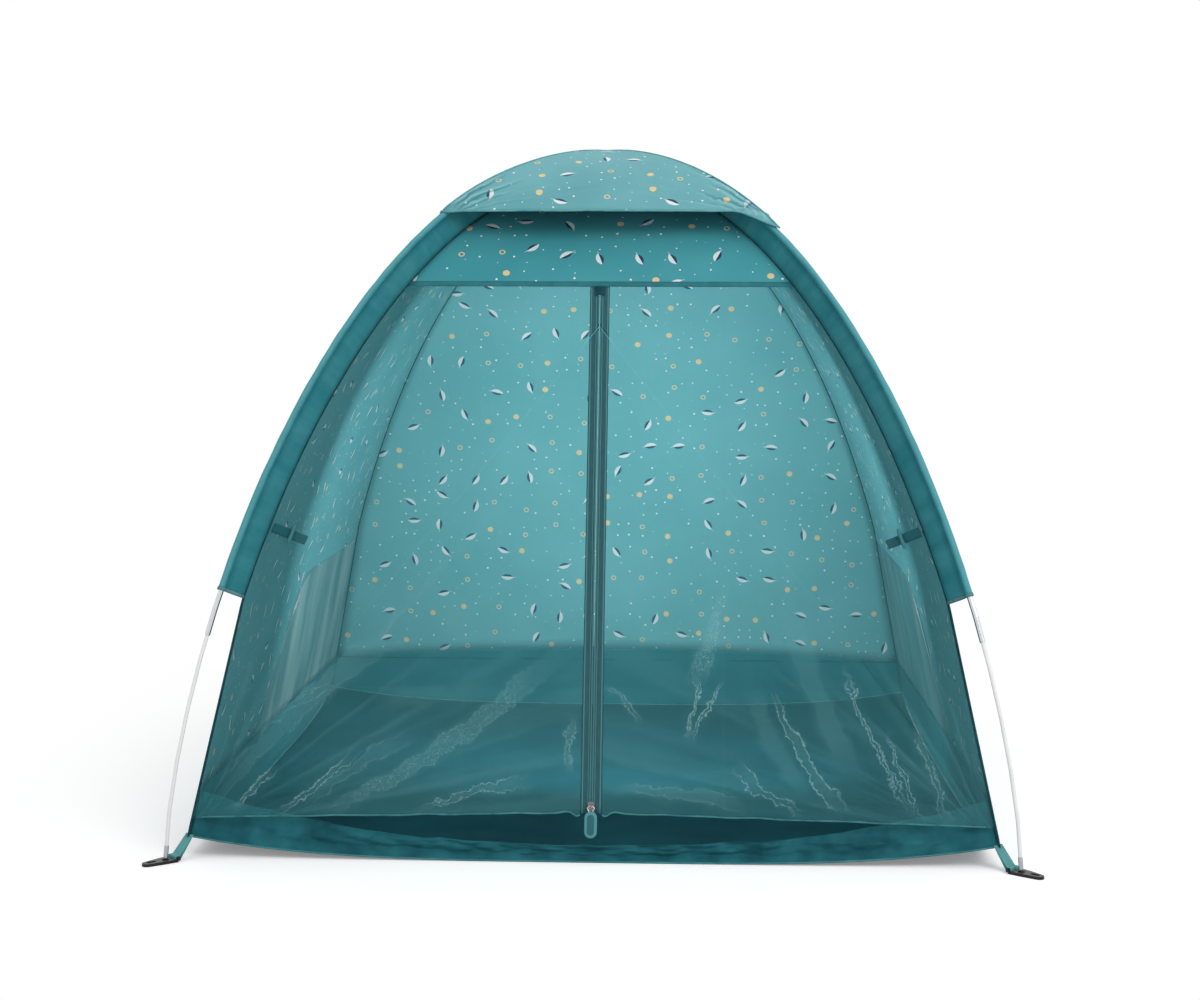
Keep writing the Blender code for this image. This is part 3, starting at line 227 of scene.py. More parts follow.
def door_y(height):
    return DOOR_FOOT.y + (height - DOOR_FOOT_HEIGHT) * ZIP_UP.y / ZIP_UP.z


def reach_at(height):
    return (height - DOOR_FOOT_HEIGHT) / ZIP_UP.z


def fold_spread(reach):
    return FOLD_FOOT_SPREAD * (FOLD_TOP_REACH - reach) / (FOLD_TOP_REACH - FOLD_FOOT_REACH)


def fold_reach(spread):
    return mix(FOLD_TOP_REACH, FOLD_FOOT_REACH, spread / FOLD_FOOT_SPREAD)


def ripple_noise(x, y, seed):
    return noise.noise(Vector((x, y, seed * 17.3)))


def hem_reach(spread):
    """Foot of the door net, with the loose scallops beside the end of the zip."""
    lobe = smooth(1 - abs(spread - 21 * MM) / (12 * MM))
    rise = smooth(1 - abs(spread - 38 * MM) / (16 * MM))
    slack = 1.6 * MM * ripple_noise(spread * 22, 3.0, 57) * hold(spread / 0.05) * hold(
        (FOLD_FOOT_SPREAD - spread) / 0.06)
    return FOLD_FOOT_REACH * spread / FOLD_FOOT_SPREAD - 5 * MM * lobe + 2 * MM * rise + slack


def side_net_point(side, spread, height, sag=lambda share: share ** 2):
    inner = max(fold_spread(reach_at(height)), TAPE_HALF_WIDTH)
    outer = half_width(height)
    slack = outer + door_y(height)
    share = max(spread - inner, 0) / (outer - inner)
    return Vector((side * spread, door_y(height) - slack * sag(share), height))


# Colours and materials. A colour of three numbers has red, green and blue from 0 to 255.

def srgb(*levels):
    shares = [level / 255 for level in levels]
    return *(share / 12.92 if share <= 0.04045 else ((share + 0.055) / 1.055) ** 2.4
             for share in shares), 1.0


class Signal:
    """An output of a node. Sums of signals add the nodes that work them out."""

    def __init__(self, nodes, socket):
        self.nodes, self.socket = nodes, socket

    def __add__(self, other):
        return self.nodes.math("ADD", self, other)

    def __sub__(self, other):
        return self.nodes.math("SUBTRACT", self, other)

    def __rsub__(self, other):
        return self.nodes.math("SUBTRACT", other, self)

    def __mul__(self, other):
        return self.nodes.math("MULTIPLY", self, other)

    def __abs__(self):
        return self.nodes.math("ABSOLUTE", self)

    def sine(self):
        return self.nodes.math("SINE", self)

    def most(self, other):
        return self.nodes.math("MAXIMUM", self, other)

    def under(self, limit):
        return self.nodes.math("LESS_THAN", self, limit)

    def over(self, limit):
        return self.nodes.math("GREATER_THAN", self, limit)

    def near(self, middle, reach):
        return self.nodes.math("COMPARE", self, middle, reach)

    def dot(self, other):
        return self.nodes.math("DOT_PRODUCT", self, tuple(other))

    def ramp(self, low, high, to_low=0.0, to_high=1.0):
        return self.nodes.add("MapRange", (self, low, high, to_low, to_high))

    def noise(self, scale, detail=2.0, roughness=0.5):
        return self.nodes.add("TexNoise", {"Vector": self, "Scale": scale, "Detail": detail,
                                           "Roughness": roughness}, "Fac")

    def turn(self, angle):
        return self.nodes.add("VectorRotate", {"Vector": self, "Angle": angle},
                              rotation_type="Z_AXIS")

    def split(self):
        node = self.nodes.make("SeparateXYZ", (self,))
        return [Signal(self.nodes, socket) for socket in node.outputs]

    def cells(self, scale, randomness):
        """Distance to the nearest point of a scatter, its colour and its place."""
        node = self.nodes.make("TexVoronoi", {"Vector": self, "Scale": scale,
                                              "Randomness": randomness},
                               voronoi_dimensions="2D", feature="F1")
        return [Signal(self.nodes, node.outputs[key]) for key in ("Distance", "Color", "Position")]


class Nodes:
    """Short calls for building a node tree."""

    def __init__(self, tree):
        self.tree = tree

    def put(self, target, value):
        if isinstance(value, Signal):
            self.tree.links.new(value.socket, target)
        elif target.type == "RGBA" and len(value) == 3:
            target.default_value = srgb(*value)
        else:
            target.default_value = value

    def make(self, kind, inputs, **settings):
        """A new node with its settings, fed by the place or name of its inputs."""
        node = self.tree.nodes.new("ShaderNode" + kind)
        for key, value in settings.items():
            setattr(node, key, value)
        for key, value in inputs.items() if isinstance(inputs, dict) else enumerate(inputs):
            self.put(node.inputs[key], value)
        return node

    def add(self, kind, inputs=(), output=0, **settings):
        return Signal(self, self.make(kind, inputs, **settings).outputs[output])

    def math(self, operation, *values):
        """A sum of numbers, or of vectors where the first value is one."""
        first = values[0]
        if isinstance(first, Signal) and first.socket.type == "VECTOR":
            gives_number = operation in ("LENGTH", "DISTANCE", "DOT_PRODUCT")
            return self.add("VectorMath", values, "Value" if gives_number else 0,
                            operation=operation)
        return self.add("Math", values, operation=operation)

    def blend(self, share, first, second):
        return self.add("Mix", {"Factor": share, "A": first, "B": second}, "Result",
                        data_type="RGBA")

    def join(self, x, y, z=0.0):
        return self.add("CombineXYZ", (x, y, z))

    def cloth(self):
        """Flat coordinates of the cloth, in metres."""
        return self.add("UVMap", uv_map="cloth")

    def place(self):
        return self.add("TexCoord", (), "Object")

    def seen_by(self, kind):
        return self.add("LightPath", (), f"Is {kind} Ray")


class Look(Nodes):
    """A material whose shader a few calls feed."""

    def __init__(self, name, roughness=0.7, metallic=0.0, gloss=0.08, **inputs):
        self.material = bpy.data.materials.new(name)
        self.material.use_nodes = True
        super().__init__(self.material.node_tree)
        self.shader = self.tree.nodes["Principled BSDF"]
        inputs = {"Roughness": roughness, "Metallic": metallic, "Specular IOR Level": gloss,
                  **inputs}
        for key, value in inputs.items():
            self.shader.inputs[key.replace("_", " ")].default_value = value

    def finish(self, colour, height, depth, strength=0.6):
        """Links the colour and the height of its relief, and gives the material."""
        self.put(self.shader.inputs["Base Color"], colour)
        normal = self.add("Bump", {"Strength": strength, "Distance": depth, "Height": height})
        self.put(self.shader.inputs["Normal"], normal)
        return self.material


WEAVE_PITCH = 0.55 * MM
COIL_PITCH = 1.3 * MM
RIB_PITCH = 1.6 * MM


def ribs(along, pitch):
    return abs((along * (FULL_TURN / 2 / pitch)).sine())


def weave(flat):
    """Height of a plain weave, 0 to 1."""
    x, y, _ = flat.split()
    turn = FULL_TURN / 2 / WEAVE_PITCH
    return abs((x * turn).sine() * (y * turn).sine())


def plain_cloth(name, dark, light, patch_scale=60.0, roughness=0.62, sheen=0.06,
                wrinkle=0.5 * MM):
    """Woven polyester with faint cloudy variation and small creases; on the lip the coarser cloudy
    patches are painted shade of its crumples.
    """
    look = Look(name, roughness, Sheen_Weight=sheen, Sheen_Roughness=0.4)
    where = look.place()
    mottle_and_painted_shade = where.noise(patch_scale, 3.0).ramp(0.3, 0.7)
    return look.finish(look.blend(mottle_and_painted_shade, dark, light),
                       weave(look.cloth()) * 0.008 + where.noise(26.0), wrinkle)


POLE_LINE = SLEEVE_WIDTH + 12 * MM  # across the cut sleeve, where it goes round the pole


def folded_cloth(name, dark, light):
    """Sleeve cloth: a painted highlight where it goes round the pole, with pulls across its length.
    """
    look = Look(name, 0.6)
    flat = look.cloth()
    x, y, _ = flat.split()
    # Painted highlight along the fold round the pole
    fold = (flat.noise(9.0) * (16 * MM) + abs(y - POLE_LINE)).ramp(17 * MM, 30 * MM, 0.85, 0.0)
    pulls = look.join(x * 30.0, y * 16.0).noise(1.0, 3.0, 0.6)
    return look.finish(look.blend(pulls.ramp(0.35, 0.65) * 0.3 + fold, dark, light),
                       weave(flat) * 0.03 + pulls, 2.5 * MM)


PRINT_NAVY = (28, 52, 84)
PRINT_WHITE = (226, 234, 236)
PRINT_CREAM = (222, 200, 152)
MOTIF_CELL = 62.0 * MM
DOT_CELL = 25.0 * MM
LEAF_LENGTH = 13.0 * MM             # half a leaf, tip to middle
LEAF_CIRCLE = 16.0 * MM             # radius of the two arcs that make a leaf
LEAF_OFFSET = 11.5 * MM
LEAF_FLATTER_SHARE = 0.72           # the lower arc is a flatter one
VEIN_DROP = 0.9 * MM
VEIN_WIDTH = 0.35 * MM
RING_RADIUS = 5.2 * MM
RING_WIDTH = 2.0 * MM
DISC_RADIUS = 5.8 * MM
STAR_RADIUS = 1.5 * MM

# The flat coordinates of the cap and of the nets have their middle at FLAT_MIDDLE.
FLAT_MIDDLE = 2.0
# Pulled folds at the cap's corners, each painted as a shade line beside a highlight line, in
# its flat metres for the front edge: start, end, half width and strength.
CAP_CREASES = (
    ((2.278, 1.722), (2.152, 1.836), 3.2 * MM, 1.0),
    ((2.262, 1.730), (2.176, 1.790), 2.8 * MM, 0.9),
    ((2.250, 1.734), (2.156, 1.768), 2.4 * MM, 0.7),
    ((2.240, 1.733), (2.110, 1.748), 2.2 * MM, 0.4),
    ((1.752, 1.746), (1.836, 1.822), 3.2 * MM, 0.9),
    ((1.756, 1.742), (1.866, 1.802), 3.0 * MM, 0.8),
    ((1.762, 1.739), (1.856, 1.768), 2.6 * MM, 0.7),
    ((1.770, 1.733), (1.890, 1.746), 2.2 * MM, 0.4),
)
# Colours of the painted shade and the painted highlight of the cap's folds
FOLD_PAINTED_SHADE = (40, 108, 118)
FOLD_PAINTED_HIGHLIGHT = (158, 208, 212)


def course(flat, start, end):
    """How far along a straight run, from 0 to 1, and how far beside it, in metres."""
    run = Vector((end[0] - start[0], end[1] - start[1], 0))
    square = Vector((-run.y, run.x, 0)).normalized()
    offset = flat - (*start, 0)
    return offset.dot(run / run.length_squared), offset.dot(square)


def painted_fold_light(look, ground):
    """The cloth's colour with a painted shade line on one side of each fold and a painted highlight
    on the other.
    """
    x, y, _ = look.cloth().split()
    flat = look.join(x, FLAT_MIDDLE - abs(y - FLAT_MIDDLE))
    drift = flat.noise(26.0, 2.0, 0.6).ramp(0.3, 0.7, -3 * MM, 3 * MM)
    painted_fold_shade = painted_ridge_highlight = 0.0
    for start, end, width, strength in CAP_CREASES:
        along, beside = course(flat, start, end)
        beside = beside + drift
        ends = along.ramp(-0.02, 0.08, 0.0, strength) * along.ramp(1.05, 0.55)
        painted_fold_shade = look.math("MAXIMUM", painted_fold_shade, abs(beside + width).ramp(width * 1.5, 0.0) * ends)
        painted_ridge_highlight = look.math("MAXIMUM", painted_ridge_highlight, abs(beside - width).ramp(width * 1.6, 0.0) * ends)
    return look.blend(painted_fold_shade * 0.85, look.blend(painted_ridge_highlight * 0.6, ground, FOLD_PAINTED_HIGHLIGHT), FOLD_PAINTED_SHADE)


def printed_cloth(name, dark, light, shift, painted_folds=False):
    """Teal cloth with scattered leaves in navy and white, cream rings and discs, and white dots."""
    look = Look(name, 0.6, Sheen_Weight=0.05)
    flat = look.cloth() + (shift, shift * 1.7, 0)
    where = look.place()
    result = look.blend(where.noise(5.0, 3.0).ramp(0.3, 0.7), dark, light)

    _, colour, middle = flat.cells(1 / MOTIF_CELL, 0.62)
    offset = flat - middle
    red, green, _ = colour.split()
    x, y, _ = offset.turn(green * FULL_TURN).split()

    def inside_circle(centre_y):
        spot = look.join(x, y)
        return look.math("DISTANCE", spot, (0, centre_y, 0)).under(LEAF_CIRCLE)
    leaf = inside_circle(-LEAF_OFFSET) * inside_circle(LEAF_OFFSET * LEAF_FLATTER_SHARE)
    vein = abs(y + VEIN_DROP).under(VEIN_WIDTH)
    stalk = x.near(-LEAF_LENGTH, 4 * MM) * vein
    is_leaf = red.under(0.5)
    radius = look.math("LENGTH", offset)
    ring = radius.near(RING_RADIUS - RING_WIDTH / 2, RING_WIDTH / 2) * red.near(0.67, 0.13)
    disc = radius.under(DISC_RADIUS) * red.over(0.8)
    distance, colour, _ = (flat + (0.31, 0.57, 0)).cells(1 / DOT_CELL, 0.9)
    star_red, star_green, _ = colour.split()
    star = (distance * DOT_CELL).under((star_green + 0.4) * STAR_RADIUS)
    star = star * star_red.under(0.6) * radius.over(LEAF_LENGTH)

    halves = look.blend(y.under(-VEIN_DROP), PRINT_NAVY, PRINT_WHITE)
    for shown, ink in ((leaf * is_leaf * 0.92, halves),
                       (stalk.most(leaf * vein) * is_leaf, PRINT_WHITE), (ring, PRINT_CREAM),
                       (disc, PRINT_CREAM), (star, PRINT_WHITE)):
        result = look.blend(shown, result, ink)
    # On the cap, painted shade and painted highlight of its folds go over the print
    return look.finish(painted_fold_light(look, result) if painted_folds else result,
                       weave(flat) * 0.12 + where.noise(38.0, 3.0, 0.6), 0.4 * MM)


# NET_HIGHLIGHT is the colour of the painted highlights on the net; NET_BAND tints its slow tone and
# the creases' haze, which is denser net with a painted sheen
NET_DARK = (70, 139, 147)
NET_HIGHLIGHT = (168, 208, 208)
NET_BAND = (96, 160, 166)
NET_VEIL = 0.3
WINDOW_VEIL = 0.86
# The pressed fold is drawn only as a faint painted highlight line
PRESS_SPREAD = 0.2                  # a pressed fold of the net, out from the zip

# Creases of each net half, in the net's flat metres: start, end, bow, half width at the start
# and at the end, and the strength of its two edge lines' painted highlight, of its haze, which
# is denser doubled net with a painted sheen, and of its crinkles' painted highlight.
CREASES = {
    -1: (((1.585, 0.99), (1.955, 1.25), -0.018, 0.007, 0.015, 0.35, 0.9, 0.6),
         ((1.525, 0.995), (1.64, 1.095), -0.004, 0.002, 0.007, 0.9, 0.6, 0.3),
         ((1.43, 1.02), (1.69, 1.275), 0.014, 0.010, 0.018, 0.3, 0.9, 0.2),
         ((1.49, 1.12), (1.615, 1.205), 0.004, 0.004, 0.008, 0.4, 0.6, 0.4),
         ((1.455, 1.0), (1.52, 1.065), 0.003, 0.003, 0.006, 0.9, 0.6, 0.6),
         ((1.735, 1.002), (1.91, 1.05), 0.004, 0.003, 0.008, 0.7, 0.6, 0.4),
         ((1.964, 1.06), (1.972, 1.15), 0.003, 0.004, 0.006, 0.6, 0.7, 0.8),
         ((1.56, 1.0), (1.73, 1.12), 0.008, 0.004, 0.010, 0.4, 0.5, 0.2),
         ((1.632, 1.235), (1.835, 1.46), 0.0, 0.002, 0.004, 0.35, 0.3, 0.0),
         ((1.66, 1.16), (1.86, 1.19), 0.004, 0.012, 0.012, 0.0, 0.6, 0.0)),
    1: (((2.277, 1.19), (2.385, 1.0), -0.010, 0.005, 0.010, 1.0, 0.5, 0.5),
        ((2.384, 1.23), (2.482, 1.0), -0.006, 0.002, 0.003, 0.9, 0.4, 0.0),
        ((2.450, 1.13), (2.497, 0.995), -0.004, 0.002, 0.004, 0.8, 0.4, 0.1),
        ((2.215, 1.075), (2.318, 1.002), -0.006, 0.009, 0.003, 0.8, 0.6, 0.2),
        ((2.242, 1.19), (2.335, 1.015), -0.010, 0.010, 0.010, 0.1, 0.9, 0.0),
        ((2.290, 1.35), (2.400, 1.04), -0.006, 0.012, 0.012, 0.15, 0.8, 0.0),
        ((2.203, 1.36), (2.155, 1.19), 0.004, 0.004, 0.014, 0.3, 0.8, 1.0),
        ((2.162, 1.21), (2.138, 1.11), 0.003, 0.002, 0.002, 1.0, 0.5, 0.3),
        ((2.204, 1.20), (2.148, 1.11), -0.004, 0.002, 0.003, 1.0, 0.5, 0.3),
        ((2.020, 1.034), (2.24, 1.01), 0.010, 0.004, 0.010, 0.4, 0.8, 0.2),
        ((2.018, 1.20), (2.07, 1.13), 0.008, 0.002, 0.004, 0.6, 0.5, 0.3),
        ((2.494, 1.14), (2.542, 0.99), -0.004, 0.003, 0.005, 0.6, 0.6, 0.3)),
}


def crease_mask(flat, drift, start, end, bow, first, last):
    """The two edge lines, the haze and the middle of one crease."""
    along, beside = course(flat, start, end)
    beside = along * (1.0 - along) * (-4 * bow) + beside + drift
    ends = along.ramp(-0.03, 0.2) * along.ramp(1.03, 0.75)
    beyond = abs(beside) - (along * (last - first) + first)
    return (abs(beyond).ramp(2.0 * MM, 0.7 * MM) * ends, beyond.ramp(12 * MM, -4 * MM) * ends,
            beyond.ramp(2 * MM, -3 * MM) * ends)


def net_cloth(name, veil, side):
    """Fine mesh, seen as a tint, with crinkled creases that run out of its corners: denser where the
    net lies doubled, with painted highlights on their edges and crinkles and a painted sheen in their
    haze.
    """
    look = Look(name, 0.6, gloss=0.03)
    flat = look.cloth()
    wander, tremor = flat.noise(22.0, 2.0, 0.6), flat.noise(120.0, 2.0, 0.6)
    drift = wander.ramp(0.3, 0.7, -7 * MM, 7 * MM) + tremor.ramp(0.3, 0.7, -2.5 * MM, 2.5 * MM)
    lines = haze = core = 0.0
    for *route, of_lines, of_haze, of_core in CREASES[side]:
        edge, soft, middle = crease_mask(flat, drift, *route)
        lines = (edge * of_lines).most(lines)
        haze = (soft * of_haze).most(haze)
        if of_core:
            core = (middle * of_core).most(core)
    painted_ridge_highlight = abs(flat.noise(75.0, 3.0, 0.7) - 0.5).ramp(0.0, 0.03, 1.0, 0.0)
    x, y, _ = flat.split()
    spread = abs(x - FLAT_MIDDLE)
    angle = look.math("ARCTAN2", y - 0.96, FOLD_FOOT_SPREAD - spread)
    # Pale streaks that fan out of the lower corner: painted sheen, and a little denser net
    fan = look.join(wander * 0.5 + angle * 14.0, y * 2.0, float(side)).noise(1.0)
    haze_and_painted_sheen = haze.most(fan.ramp(0.48, 0.66, 0.0, 0.75) * y.ramp(1.42, 1.1))
    sparkle = flat.noise(260.0, 2.0, 0.7).ramp(0.36, 0.6, 0.35, 1.0)
    press = spread.near(PRESS_SPREAD, 0.8 * MM)
    # Painted highlights on the creases' edge lines, on their crinkles and on the pressed fold, broken
    # into painted glints by the sparkle
    painted_highlight = lines.most(painted_ridge_highlight * (core * 0.8)).most(press * 0.2)
    painted_highlight = (core * 0.12 + painted_highlight) * sparkle * 0.7
    slow = (flat * (5.0, 1.4, 0)).noise(1.0).ramp(0.35, 0.65)
    tint = look.blend(slow * 0.3 + haze_and_painted_sheen * 0.6, NET_DARK, NET_BAND)
    look.put(look.shader.inputs["Base Color"], look.blend(painted_highlight, tint, NET_HIGHLIGHT))
    look.put(look.shader.inputs["Alpha"],
             painted_highlight * 0.36 + (haze_and_painted_sheen * 0.13 + (slow * 0.06 + (veil - 0.03))))
    return look.material


def window_cloth(name, dark, light, veil):
    """Window net with soft upright folds."""
    look = Look(name, 0.55, Alpha=veil)
    flat = look.cloth()
    bend = flat + look.join(flat.noise(7.0) * 0.06, 0.0)
    share = (bend * (34.0, 6.0, 0)).noise(1.0).ramp(0.45, 0.75) * 0.3 + (
        bend * (12.0, 2.5, 0)).noise(1.0).ramp(0.4, 0.7)
    return look.finish(look.blend(share, dark, light), share, 1.5 * MM, 0.5)


def zip_tape_cloth(name, dark, light):
    """Woven tape with a paler edge and fine lengthwise ribs."""
    look = Look(name, 0.7)
    flat = look.cloth()
    _, y, _ = flat.split()
    lines = y.near(13.4 * MM, 0.9 * MM).most(y.near(4.4 * MM, 0.8 * MM)) * 0.45
    fleck = (flat * (60, 700, 1)).noise(1.0)
    return look.finish(look.blend(lines + fleck * 0.3, dark, light),
                       abs((y * 1900.0).sine()) + fleck, 0.2 * MM)


def hard_material(name, dark, light, roughness, metallic, scale, depth=0.05 * MM):
    """A hard surface with fine variation of its shade and gloss."""
    look = Look(name, roughness, metallic, 0.4)
    fine = look.place().noise(scale, 3.0, 0.6)
    look.put(look.shader.inputs["Roughness"],
             fine.ramp(0.3, 0.7, roughness * 0.8, roughness * 1.25))
    return look.finish(look.blend(fine, dark, light), fine, depth, 0.5)


def coil_material(name, dark, light):
    """Nylon chain: a ridge for each turn of its coil."""
    look = Look(name, 0.4)
    turn = ribs(look.place().dot(ZIP_UP), COIL_PITCH)
    return look.finish(look.blend(turn, dark, light), turn, 0.5 * MM, 1.0)


def webbing(name, dark, light):
    """Ribbed strap, with the ribs across its width."""
    look = Look(name, 0.7, Sheen_Weight=0.1)
    flat = look.cloth()
    rib = ribs(flat.split()[0], RIB_PITCH)
    fleck = flat.noise(900.0)
    return look.finish(look.blend(rib * fleck, dark, light), rib + fleck, 0.35 * MM, 0.8)


# Every material: its maker, its name, its dark and light colour and what else the maker takes
MATERIALS = {name: make(name, *values) for make, table in {
    printed_cloth: {
        "cap_print": ((94, 160, 168), (110, 174, 180), 0.0, True),
        # The header's deeper teal is partly painted shade under the cap's brim
        "header_print": ((60, 146, 156), (76, 159, 168), 0.37),
        "rear_print": ((100, 168, 174), (112, 178, 184), 1.13),
        "left_print": ((84, 154, 162), (98, 168, 174), 2.21),
        "right_print": ((84, 154, 162), (98, 168, 174), 3.47)},
    folded_cloth: {"sleeve_cloth": ((44, 124, 134), (88, 162, 171))},
    plain_cloth: {
        # The floor, the tub's walls and the lip are one coated cloth: the floor's darker tone is
        # painted shade inside the tent, the walls' paler tone painted light, and the lip's patches
        # painted shade of its crumples
        "floor_cloth": ((6, 60, 71), (14, 82, 94), 4.0, 0.6, 0.02, 0.8 * MM),
        "tub_cloth": ((22, 92, 102), (40, 116, 126), 3.0, 0.6, 0.04, 0.8 * MM),
        "lip_cloth": ((20, 78, 88), (38, 108, 117), 24.0, 0.42, 0.04, 1.6 * MM),
        "binding_tape": ((16, 56, 64), (28, 76, 84)),
        "hem_tape": ((50, 110, 117), (74, 138, 144)),
        "header_hem": ((44, 112, 120), (54, 124, 132)),
        "sleeve_hem": ((64, 120, 128), (108, 150, 156)),
        "cap_seam": ((84, 150, 158), (112, 176, 182)),
        "floor_edge": ((56, 122, 130), (80, 148, 154))},
    zip_tape_cloth: {"zip_tape": ((30, 78, 86), (104, 156, 160))},
    coil_material: {"zip_coil": ((26, 70, 78), (96, 150, 154))},
    hard_material: {
        "bright_steel": ((188, 192, 196), (206, 209, 213), 0.3, 1.0, 18.0, 0.002 * MM),
        "slider_metal": ((96, 100, 102), (132, 134, 136), 0.24, 1.0, 500.0),
        "link_metal": ((222, 190, 178), (250, 232, 222), 0.22, 1.0, 500.0),
        "white_fibreglass": ((236, 236, 236), (247, 247, 247), 0.3, 0.0, 24.0, 0.01 * MM),
        "black_plastic": ((16, 16, 18), (34, 34, 36), 0.34, 0.0, 420.0),
        "elastic_cord": ((214, 214, 210), (236, 236, 232), 0.8, 0.0, 900.0),
        "toggle_cloth": ((40, 100, 108), (66, 134, 142), 0.6, 0.0, 700.0, 0.2 * MM),
        "pull_rubber": ((60, 136, 146), (78, 152, 160), 0.5, 0.0, 600.0),
        "pull_inset": ((28, 88, 98), (40, 104, 114), 0.6, 0.0, 600.0)},
    webbing: {
        "loop_webbing": ((24, 74, 82), (44, 104, 112)),
        "light_webbing": ((78, 150, 152), (122, 196, 196)),
        "dark_webbing": ((24, 84, 92), (44, 112, 120))},
    window_cloth: {
        "window_net": ((84, 138, 142), (150, 184, 184), WINDOW_VEIL),
        # The right window's net is a darker copy of the left one's: painted shade
        "window_net_shade": ((58, 116, 122), (96, 148, 152), WINDOW_VEIL),
        "window_fold": ((170, 190, 188), (222, 230, 228), 0.8)},
    net_cloth: {f"{name}_net": (NET_VEIL, side) for name, side in SIDES},
}.items() for name, values in table.items()}

# A slot name for each material
SLOTS = {name: slot for slot, names in {
    "printed_cloth": "cap_print header_print rear_print left_print right_print header_hem cap_seam",
    "sleeve_cloth": "sleeve_cloth binding_tape sleeve_hem",
    "tub_cloth": "floor_cloth tub_cloth lip_cloth floor_edge",
    "net_cloth": "hem_tape window_net window_net_shade window_fold left_net right_net",
    "zip_tape": "zip_tape", "zip_coil": "zip_coil", "slider_metal": "slider_metal link_metal",
    "pull_rubber": "pull_rubber pull_inset", "webbing": "loop_webbing light_webbing dark_webbing",
}.items() for name in names.split()}


# Building pieces

def new_object(name, data):
    made = bpy.data.objects.new(name, data)
    bpy.context.scene.collection.objects.link(made)
    return made


def attach(thing, body, *nodes):
    """Has a piece move with a body and stand for nodes of the part."""
    if body:
        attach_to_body(thing, body)
    if nodes:
        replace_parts(thing, *nodes)
    return thing


def new_piece(name, mesh, look):
    """A smooth piece with its material."""
    mesh.shade_smooth()
    made = new_object(name, mesh)
    mesh.materials.clear()
    mesh.materials.append(MATERIALS[look])
    return made


def mesh_of(name, shape):
    mesh = bpy.data.meshes.new(name)
    shape.to_mesh(mesh)
    shape.free()
    return mesh


def sheet(name, us, vs, point, flat, outside, look, body, nodes=(), thickness=CLOTH,
          ripple=None):
    """A curved sheet on a grid of two lists. point gives its place, flat its place in the uncut
    cloth in metres, or the size of that cloth, and ripple how far it stands off along the
    normal."""
    size = flat
    if isinstance(size, tuple):
        def flat(u, v):
            return u * size[0], v * size[1]
    mesh = bpy.data.meshes.new(name)
    width = len(vs)
    grid = [(u, v) for u in us for v in vs]
    faces = [
        (i * width + j, (i + 1) * width + j, (i + 1) * width + j + 1, i * width + j + 1)
        for i in range(len(us) - 1) for j in range(width - 1)
    ]
    mesh.from_pydata([tuple(point(u, v)) for u, v in grid], [], faces)
    layer = mesh.uv_layers.new(name="cloth")
    flats = [flat(u, v) for u, v in grid]
    for loop in mesh.loops:
        layer.data[loop.index].uv = flats[loop.vertex_index]
    mesh.update()
    facing = sum((face.normal * face.area for face in mesh.polygons), Vector())
    if facing.dot(Vector(outside)) < 0:
        mesh.flip_normals()
        mesh.update()
    if ripple:
        normals = [vertex.normal.copy() for vertex in mesh.vertices]
        for vertex, normal, share in zip(mesh.vertices, normals, grid):
            vertex.co += normal * ripple(*share)
        mesh.update()
    made = new_piece(name, mesh, look)
    if thickness:
        solid = made.modifiers.new("Thickness", "SOLIDIFY")
        solid.thickness = thickness
        solid.offset = -1
        solid.use_even_offset = False
    return attach(made, body, *nodes)


def area_of(thing):
    """Area of one side of a sheet that was made on a grid."""
    return sum(face.area for face in thing.data.polygons)


def declare(thing, flat, area=None):
    """Compares a sheet's area with the size that it was cut to; the result is not kept."""
    measured = area if area is not None else area_of(thing)
    whole = flat[0] * flat[1]
    min(measured, whole) if measured < whole * 0.97 else None


def baked(thing):
    """The mesh that an object's modifiers or bevel make."""
    bpy.context.view_layer.update()
    return bpy.data.meshes.new_from_object(thing.evaluated_get(
        bpy.context.evaluated_depsgraph_get()))


def tube(name, line, radius, look, body, cyclic=False):
    data = bpy.data.curves.new(name, "CURVE")
    data.dimensions = "3D"
    data.resolution_u = 1
    spline = data.splines.new("POLY")
    spline.points.add(len(line) - 1)
    for point, place in zip(spline.points, line):
        point.co = (*place, 1)
    spline.use_cyclic_u = cyclic
    data.bevel_depth = radius
    data.bevel_resolution = 2
    data.use_fill_caps = not cyclic
    curve = new_object(name, data)
    mesh = baked(curve)
    bpy.data.objects.remove(curve, do_unlink=True)
    return attach(new_piece(name, mesh, look), body)


# Walls and floor

WALL_ROWS = 44
WALL_COLUMNS = 56
WALL_INSET = 1.4 * MM
TUB_INSET = 1.2 * MM
WINDOW_NET_TOP = 0.42
WINDOW_ARC_STEPS = 14
WINDOW_OVERRUN = 30.0 * MM
WINDOW_FOLD_WIDTH = 40.0 * MM
BINDING_PROUD = 0.2 * MM
FLOOR_STEPS = 90
REAR_BAND_RISE = 26.0 * MM          # how much higher the rear band is in the middle


def wall_wave(seed, depth):
    """Slow waves and fine pulls of a taut wall, still at its edges."""
    def ripple(height_share, across):
        edge = min(1.0, 5 * min(across, 1 - across)) * min(1.0, 6 * min(
            height_share, 1 - height_share) + 0.05)
        slow = ripple_noise(across * 2.4, height_share * 1.8, seed)
        pulls = ripple_noise(across * 9 + height_share * 5, height_share * 2.5, seed + 1)
        return edge * depth * (slow + 0.35 * pulls)
    return ripple


